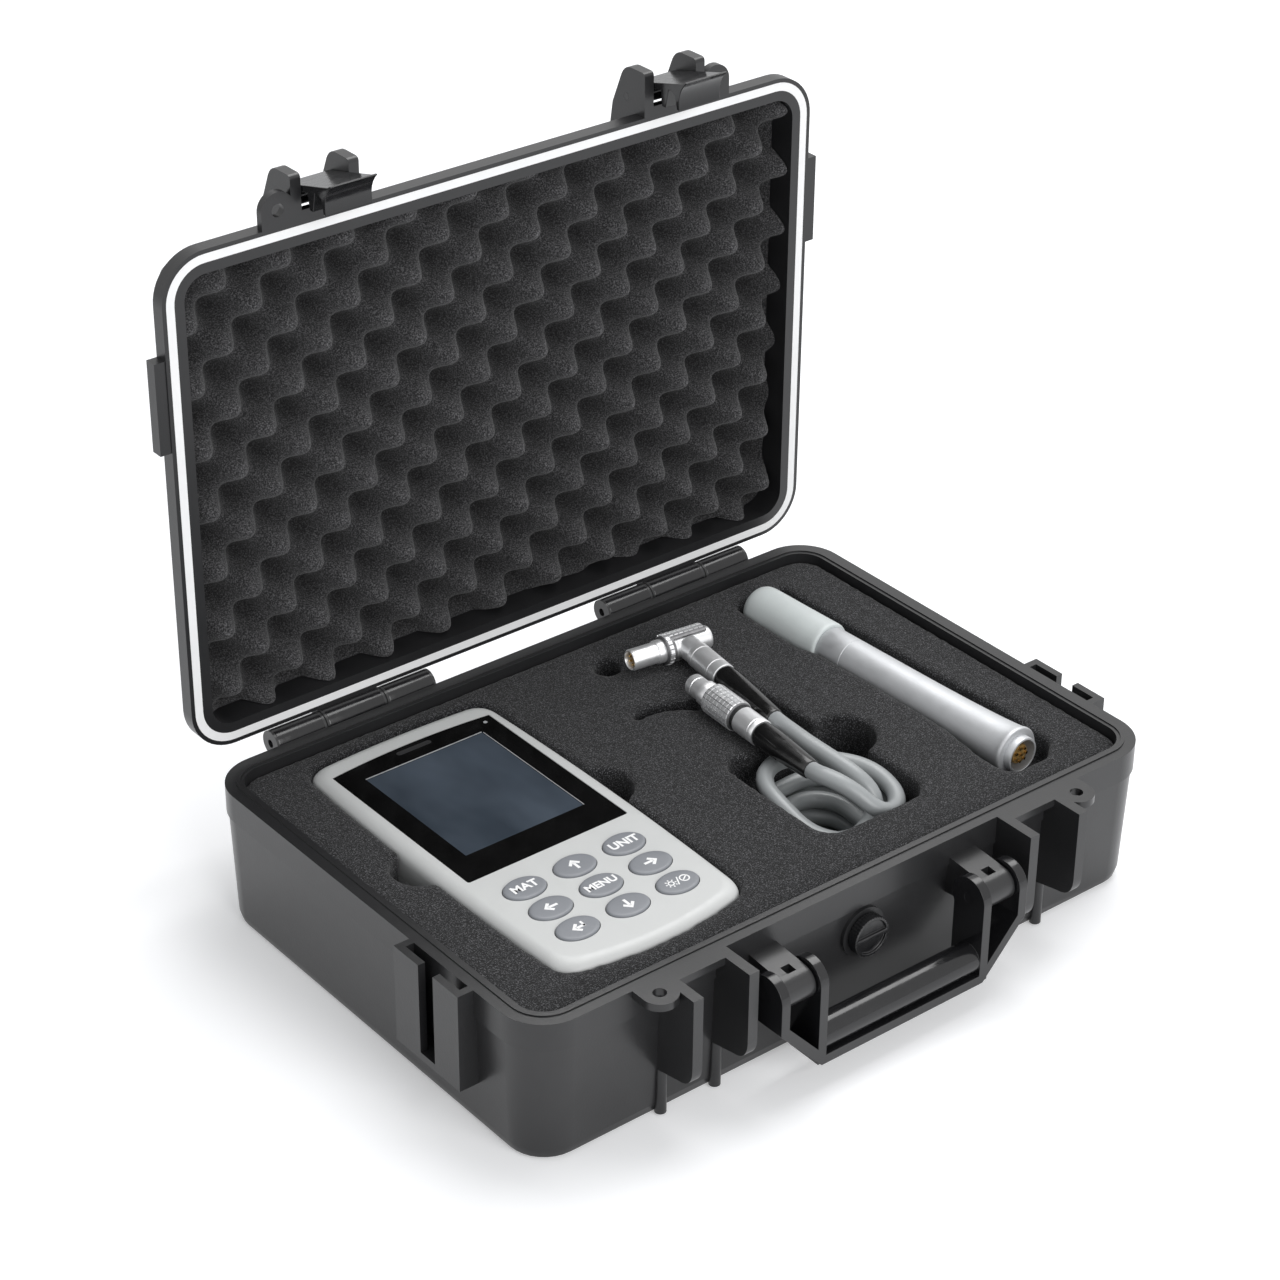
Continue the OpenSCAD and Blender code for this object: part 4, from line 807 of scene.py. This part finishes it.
def elbow_plug():
    made = []
    bm = bmesh.new()
    lathe(bm, ELBOW, NOSE_WAY, [(5.2, 0), (5.2, 4.75), (10.65, 4.75), (10.8, 4.8), (13.4, 4.8), (13.75, 4.62),
                                (13.85, 4.3), (24.3, 4.3), (24.9, 4.22), (25.2, 4.0), (25.2, 3.75), (24.9, 3.6),
                                (16.2, 3.6), (16.2, 0)], 64)
    made.append(finish_mesh("elbow_nose_turned", bm, PLATED, "base", 35, ["elbow_plug_nose"]))
    bm = bmesh.new()
    lathe(bm, ELBOW, NOSE_WAY, [(16.3, 0), (16.3, 3.55), (23.0, 3.55), (23.2, 3.3), (23.2, 0)], 40)
    made.append(finish_mesh("elbow_insulator", bm, INSULATOR, "base", 35))
    made.append(plug_pins("elbow_pins", ELBOW, NOSE_WAY, 23.1, 2.2, 7, 1.2))
    bm = bmesh.new()
    low, high, notch_end = -8.8, 10.5, 6.7
    grid_s = [low, low + 0.45, 0, notch_end, high - 0.45, high]
    n = 72
    d, side, up = axes_of(NOSE_WAY)
    lean = math.atan2(LEG_WAY.dot(up), LEG_WAY.dot(side))

    def off_leg(t):
        return abs((t - lean + math.pi) % (2 * math.pi) - math.pi)

    def point(s, t, r):
        return bm.verts.new((ELBOW + s * d + r * (math.cos(t) * side + math.sin(t) * up)) * MM)

    turns = [lean + 2 * math.pi * k / n for k in range(n)]
    outer = [[point(s, t, 5.5 if s in (low, high) else 5.85) for t in turns] for s in grid_s]
    inner = [[point(s, t, 4.92) for t in turns] for s in (low, notch_end, high)]

    def in_notch(k):
        return off_leg(turns[k] + math.pi / n) < math.radians(67)

    def quads(rows, notched):
        for i, (a, b) in enumerate(zip(rows, rows[1:])):
            for k in range(n):
                if i < notched and in_notch(k):
                    continue
                m = (k + 1) % n
                bm.faces.new((a[k], a[m], b[m], b[k]))

    quads(outer, 3)
    quads(inner, 1)
    for ra, rb, notched in ((outer[0], inner[0], True), (outer[-1], inner[-1], False)):
        for k in range(n):
            m = (k + 1) % n
            if not (notched and in_notch(k)):
                bm.faces.new((ra[k], ra[m], rb[m], rb[k]))
    for k in range(n):
        if in_notch(k):
            m = (k + 1) % n
            bm.faces.new((outer[3][k], outer[3][m], inner[1][m], inner[1][k]))
        elif in_notch((k + 1) % n) or in_notch(k - 1):
            edge = (k + 1) % n if in_notch((k + 1) % n) else k
            strip = [outer[i][edge] for i in range(4)]
            bm.faces.new(strip + [inner[1][edge], inner[0][edge]])
    # The sleeve's body between the pads takes the painted groove shade.
    for face in bm.faces:
        face.material_index = 1
    knurl_pads(bm, ELBOW, NOSE_WAY, 5.8, 6.3, low + 0.5, high - 0.5, 8, 20,
               lambda s, t: s > notch_end + 1.2 or off_leg(t) > math.radians(76))
    sleeve = finish_mesh("elbow_sleeve_knurled", bm, PLATED, "elbow_sleeve", 30, ["elbow_plug_sleeve"])
    sleeve.data.materials.append(KNURL_GROOVE_SHADE)
    bm = bmesh.new()
    lathe(bm, ELBOW, NOSE_WAY, [(-11, 0), (-11, 3.9), (-10.7, 4.4), (-10.2, 4.7), (-9.6, 4.75),
                                (5.1, 4.75), (5.1, 0)], 64)
    lathe(bm, ELBOW, LEG_WAY, [(3.0, 0), (3.0, 4.88), (9.5, 4.88), (9.9, 5.1), (10.3, 5.2), (12.6, 5.2),
                               (12.75, 5.04), (13.05, 5.04), (13.2, 5.2), (23.6, 5.2), (23.8, 5.0), (24.2, 5.0), (24.4, 5.2),
                               (28.6, 5.2), (28.95, 4.95), (28.95, 0)], 64)
    made.append(finish_mesh("elbow_body_turned", bm, PLATED, "base", 35, ["elbow_plug_body"]))
    made.append(boot("elbow_plug_boot", ELBOW + LEG_L * LEG_WAY, LEG_WAY, ELBOW_BOOT_L))
    return made


def straight_plug():
    made = []
    bm = bmesh.new()
    lathe(bm, STRAIGHT, STRAIGHT_WAY, [(6.8, 0), (6.8, 3.6), (0.3, 3.6), (0, 3.75), (0, 4.0), (0.3, 4.22), (0.8, 4.3),
                                       (3.2, 4.3), (3.35, 4.05), (4.15, 4.05), (4.3, 4.3), (7.7, 4.3), (8.0, 4.85),
                                       (8.3, 5.1), (12.1, 5.1), (12.4, 4.9), (12.4, 4.75), (31.4, 4.75),
                                       (31.4, 0)], 64)
    made.append(finish_mesh("straight_nose_turned", bm, PLATED, "base", 35, ["straight_plug_nose"]))
    bm = bmesh.new()
    lathe(bm, STRAIGHT, STRAIGHT_WAY, [(3.0, 0), (3.2, 3.3), (3.4, 3.55), (5.5, 3.55), (5.5, 0)], 40)
    made.append(finish_mesh("straight_insulator", bm, INSULATOR, "base", 35))
    bm = bmesh.new()
    lathe(bm, STRAIGHT, STRAIGHT_WAY, [(12.7, 4.92), (12.7, 5.45), (13.1, 5.85), (29.2, 5.85), (29.65, 5.45),
                                       (29.65, 4.92), (12.7, 4.92)], 64)
    # The sleeve's body between the pads takes the painted groove shade.
    for face in bm.faces:
        face.material_index = 1
    knurl_pads(bm, STRAIGHT, STRAIGHT_WAY, 5.8, 6.3, 13.1, 29.2, 7, 20)
    sleeve = finish_mesh("straight_sleeve_knurled", bm, PLATED, "straight_sleeve", 30,
                         ["straight_plug_sleeve"])
    sleeve.data.materials.append(KNURL_GROOVE_SHADE)
    # Painted shade: a dark band over the plated neck in the gap between the sleeve and the nut.
    bm = bmesh.new()
    lathe(bm, STRAIGHT, STRAIGHT_WAY, [(29.72, 4.76), (29.72, 4.86), (31.48, 4.86), (31.48, 4.76)], 48)
    made.append(finish_mesh("straight_gap_painted_shade", bm, DARK, "base", 35))
    bm = bmesh.new()
    lathe(bm, STRAIGHT, STRAIGHT_WAY, [(31.5, 0), (31.5, 5.1), (31.8, 5.4), (40.6, 5.4), (40.75, 5.2), (41.05, 5.2),
                                       (41.2, 5.4), (43.0, 5.4), (43.45, 5.1), (43.45, 0)], 64)
    made.append(finish_mesh("straight_nut_turned", bm, PLATED, "base", 35, ["straight_plug_nut"]))
    d, side, up = axes_of(STRAIGHT_WAY)
    bm = bmesh.new()
    lathe(bm, STRAIGHT + 10 * STRAIGHT_WAY + 4.98 * up, up, [(0, 0), (0, 0.8), (0.16, 0.75), (0.24, 0)], 20)
    made.append(finish_mesh("straight_red_dot", bm, RED, "base", 35))
    made.append(boot("straight_plug_boot", STRAIGHT + STRAIGHT_L * STRAIGHT_WAY, STRAIGHT_WAY, STRAIGHT_BOOT_L))
    return made


plug_pieces = elbow_plug() + straight_plug()


# Probe

PROBE = Vector((100.0, 77.5, 55.05))
PROBE_WAY = Vector((math.sin(math.radians(2.45)), -math.cos(math.radians(2.45)), 0))


def probe():
    bm = bmesh.new()
    flare = [(84.2, 8.4)]
    for k in range(1, 13):
        t = k / 12
        flare.append((84.2 * (1 - t) ** 2 + 2 * t * (1 - t) * 127 + 142.3 * t * t, 8.4 * (1 - t * t) + 9.8 * t * t))
    lathe(bm, PROBE, PROBE_WAY,
          [(12, 0), (12, 6.5), (14, 8.0), (43.5, 8.0), (43.7, 8.25), (44.0, 8.4), (56.5, 8.4),
           (56.65, 8.2), (57.0, 8.2), (57.15, 8.4)] + flare + [(143.5, 10.1), (144.1, 10.2), (144.7, 10.15), (145.1, 9.9), (145.3, 9.4),
                                    (145.3, 7.4), (148.0, 7.4), (148.35, 7.25), (148.5, 6.9), (148.5, 6.55),
                                    (148.3, 6.4), (140.6, 6.4), (140.6, 0)], 72)
    finish_mesh("probe_tube", bm, ANODISED, "base", 35, ["probe_body"])
    bm = bmesh.new()
    lathe(bm, PROBE, PROBE_WAY, [(140.55, 0), (140.55, 6.3), (142.5, 6.3), (142.5, 4.0), (146.6, 4.0), (146.85, 3.8),
                                 (146.85, 0)], 48)
    finish_mesh("probe_insulator", bm, INSULATOR, "base", 35, ["probe_socket"])
    bm = bmesh.new()
    lathe(bm, PROBE, PROBE_WAY, [(0, 0), (0.05, 3.2), (0.35, 5.4), (1.1, 7.3), (2.3, 8.6), (3.8, 9.35), (5.6, 9.66),
                                 (9, 9.7), (24, 9.64), (41.5, 9.7), (42.6, 9.66), (43.2, 9.45), (43.5, 9.1),
                                 (43.5, 8.03), (8, 8.03), (7, 7), (6.2, 0)], 72)
    finish_mesh("probe_cap_soft", bm, CAP, "base", 50, ["probe_cap"])


probe()


# Cable: one length from the elbow plug down through the coil and up to the straight plug

CABLE_R = 3.4
FLOOR_Z = 9.05 + CABLE_R
INNER = (23.1, 50.3, -56.5, -22.3, 13.6)
OUTER = (16.1, 57.2, -63.3, -15.4, 17.0)


def loop_point(box, share):
    """Point at a share of the way round a rounded rectangle, clockwise from the middle of its front."""
    x0, x1, y0, y1, r = box
    straight_x, straight_y, quarter = (x1 - x0 - 2 * r), (y1 - y0 - 2 * r), math.pi * r / 2
    total = 2 * straight_x + 2 * straight_y + 4 * quarter
    s = (share % 1.0) * total
    cx0, cx1, cy0, cy1 = x0 + r, x1 - r, y0 + r, y1 - r
    legs = ((straight_x / 2, "line", ((cx0 + cx1) / 2, y0), (-1, 0)), (quarter, "arc", (cx0, cy0), 270),
            (straight_y, "line", (x0, cy0), (0, 1)), (quarter, "arc", (cx0, cy1), 180),
            (straight_x, "line", (cx0, y1), (1, 0)), (quarter, "arc", (cx1, cy1), 90),
            (straight_y, "line", (x1, cy1), (0, -1)), (quarter, "arc", (cx1, cy0), 0),
            (straight_x / 2 + 1e-6, "line", (cx1, y0), (-1, 0)))
    for length, kind, at, way in legs:
        if s <= length or length == legs[-1][0]:
            if kind == "line":
                return at[0] + way[0] * s, at[1] + way[1] * s
            t = math.radians(way) - s / r
            return at[0] + r * math.cos(t), at[1] + r * math.sin(t)
        s -= length
    raise ValueError(share)


def smooth_route(points, spacing):
    """Even points on a Catmull-Rom curve."""
    pts = [Vector(p) for p in points]
    fine = []
    for i in range(len(pts) - 1):
        a, b, c, e = pts[max(i - 1, 0)], pts[i], pts[i + 1], pts[min(i + 2, len(pts) - 1)]
        for k in range(12):
            t = k / 12
            fine.append(0.5 * (2 * b + (c - a) * t + (2 * a - 5 * b + 4 * c - e) * t * t
                               + (3 * b - a - 3 * c + e) * t ** 3))
    fine.append(pts[-1])
    out, left = [fine[0]], spacing
    for a, b in zip(fine, fine[1:]):
        step = (b - a).length
        while step >= left:
            a = a + (b - a) * (left / step)
            out.append(a)
            step -= left
            left = spacing
        left -= step
    out.append(fine[-1])
    return out


LEAD_A = [(40.82, -3.49, 63.4), (40.3, -8, 63.4), (40.2, -14, 63.2), (40.5, -22, 62.5), (41.8, -32, 61.2),
          (43.6, -40.5, 59.4), (45.4, -46.8, 56.8), (46.8, -51, 53.4), (46.9, -53.6, 49.6), (45.2, -55.2, 46),
          (42, -56.1, 43.2)]
LAST_TURN = [(28.5, -62.7, 44.9), (22.5, -59.6, 46), (18, -54, 47.2), (16.3, -47, 48.6), (16.2, -40, 50.4),
             (16.4, -33.5, 52), (18, -26, 53), (22.2, -19.8, 53.6), (28.5, -16.4, 54), (35, -16.2, 54),
             (41, -19.2, 54), (46.5, -24.4, 54), (51.4, -29.6, 53.6), (55, -35, 53.3), (57, -41.6, 52.8),
             (57.1, -48.6, 52), (55.6, -55.2, 51), (51.9, -60.2, 50.4), (47.2, -62.8, 50.8)]
LEAD_B = [(42.6, -62.7, 52.3), (38.6, -60.4, 55.4), (35.3, -56.4, 59.4), (32, -51.6, 62.5), (29.6, -46.6, 63.8),
          (28.5, -42, 63.6), (28.45, -38.38, 63.4)]
INNER_TOP, OUTER_TOP = 40.8, 44.0


def cable_route():
    """Down an inner hank, across the pocket's floor, up an outer hank and over its last turn."""
    route = list(LEAD_A)
    per_turn, turns_down, drop = 24, 3, 7.4
    low = INNER_TOP - 2 * drop
    for k in range(turns_down * per_turn + 1):
        turn = k / per_turn
        z = INNER_TOP - drop * turn if turn <= 2 else low - (low - FLOOR_Z) * (turn - 2)
        route.append((*loop_point(INNER, turn), z))
    across = 18
    for k in range(1, across + 1):
        f = k / across
        f = f * f * (3 - 2 * f)
        a, b = loop_point(INNER, k / per_turn), loop_point(OUTER, k / per_turn)
        route.append((a[0] + (b[0] - a[0]) * f, a[1] + (b[1] - a[1]) * f, FLOOR_Z))
    turns_up, first_rise = 4.25, 8.9
    for k in range(1, int(turns_up * per_turn) + 1):
        turn = k / per_turn
        z = FLOOR_Z + first_rise * min(turn, 1)
        z += (OUTER_TOP - FLOOR_Z - first_rise) * max(turn - 1, 0) / (turns_up - 1)
        route.append((*loop_point(OUTER, across / per_turn + turn), z))
    return smooth_route(route + LAST_TURN + LEAD_B, 2.5)


def cable():
    points = cable_route()
    curve = bpy.data.curves.new("cable", "CURVE")
    curve.dimensions = "3D"
    curve.bevel_depth = CABLE_R * MM
    curve.bevel_resolution = 5
    curve.use_fill_caps = True
    spline = curve.splines.new("POLY")
    spline.points.add(len(points) - 1)
    for p, at in zip(spline.points, points):
        p.co = (*(at * MM), 1)
    spline.use_smooth = True
    made = bpy.data.objects.new("cable", curve)
    bpy.context.scene.collection.objects.link(made)
    curve.materials.append(CABLE)
    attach(made, "base")
    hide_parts("cable_lead_elbow", "cable_lead_straight", "cable_coil")


cable()


# Floor, light and background

def ray_kind(tree):
    """1 for rays from the camera, mirrors and glass."""
    path = add(tree, "ShaderNodeLightPath")
    total = path.outputs["Is Camera Ray"]
    for other in ("Is Glossy Ray", "Is Transmission Ray"):
        both = add(tree, "ShaderNodeMath", operation="MAXIMUM")
        tree.links.new(total, both.inputs[0])
        tree.links.new(path.outputs[other], both.inputs[1])
        total = both.outputs[0]
    return total


def floor():
    made = bpy.data.materials.new("floor")
    made.use_nodes = True
    tree = made.node_tree
    tree.nodes.clear()
    out = add(tree, "ShaderNodeOutputMaterial")
    plain = add(tree, "ShaderNodeBsdfDiffuse", Color=(0.86, 0.865, 0.88, 1))
    glow = add(tree, "ShaderNodeEmission", Color=(1, 1, 1, 1), Strength=0.3)
    both = add(tree, "ShaderNodeAddShader")
    mix = add(tree, "ShaderNodeMixShader")
    tree.links.new(plain.outputs[0], both.inputs[0])
    tree.links.new(glow.outputs[0], both.inputs[1])
    tree.links.new(ray_kind(tree), mix.inputs["Fac"])
    tree.links.new(plain.outputs[0], mix.inputs[1])
    tree.links.new(both.outputs[0], mix.inputs[2])
    tree.links.new(mix.outputs[0], out.inputs["Surface"])
    bpy.ops.mesh.primitive_plane_add(size=12, location=(0, 0, 0))
    plane = bpy.context.object
    plane.name = "floor"
    plane.data.materials.append(made)


def world():
    made = bpy.data.worlds.new("studio")
    bpy.context.scene.world = made
    made.use_nodes = True
    tree = made.node_tree
    tree.nodes.clear()
    out = add(tree, "ShaderNodeOutputWorld")
    light = add(tree, "ShaderNodeBackground", Color=(0.96, 0.98, 1.0, 1), Strength=0.36)
    seen = add(tree, "ShaderNodeBackground", Color=(1, 1, 1, 1), Strength=1.0)
    mix = add(tree, "ShaderNodeMixShader")
    tree.links.new(ray_kind(tree), mix.inputs["Fac"])
    tree.links.new(light.outputs[0], mix.inputs[1])
    tree.links.new(seen.outputs[0], mix.inputs[2])
    tree.links.new(mix.outputs[0], out.inputs["Surface"])


def area_light(name, place, target, size, power):
    data = bpy.data.lights.new(name, "AREA")
    data.shape = "SQUARE"
    data.size = size
    data.energy = power
    made = bpy.data.objects.new(name, data)
    bpy.context.scene.collection.objects.link(made)
    made.location = place
    made.rotation_euler = (Vector(target) - Vector(place)).to_track_quat("-Z", "Y").to_euler()


floor()
world()
area_light("overhead", (0.55, 0.32, 1.45), (0, 0, 0.1), 1.2, 20)
area_light("front_soft", (-0.15, -1.7, 0.85), (0, 0.05, 0.12), 1.2, 20)
area_light("left_fill", (-1.6, 0.1, 0.6), (0, 0, 0.1), 0.8, 1.0)
bpy.context.scene.view_settings.view_transform = "Standard"
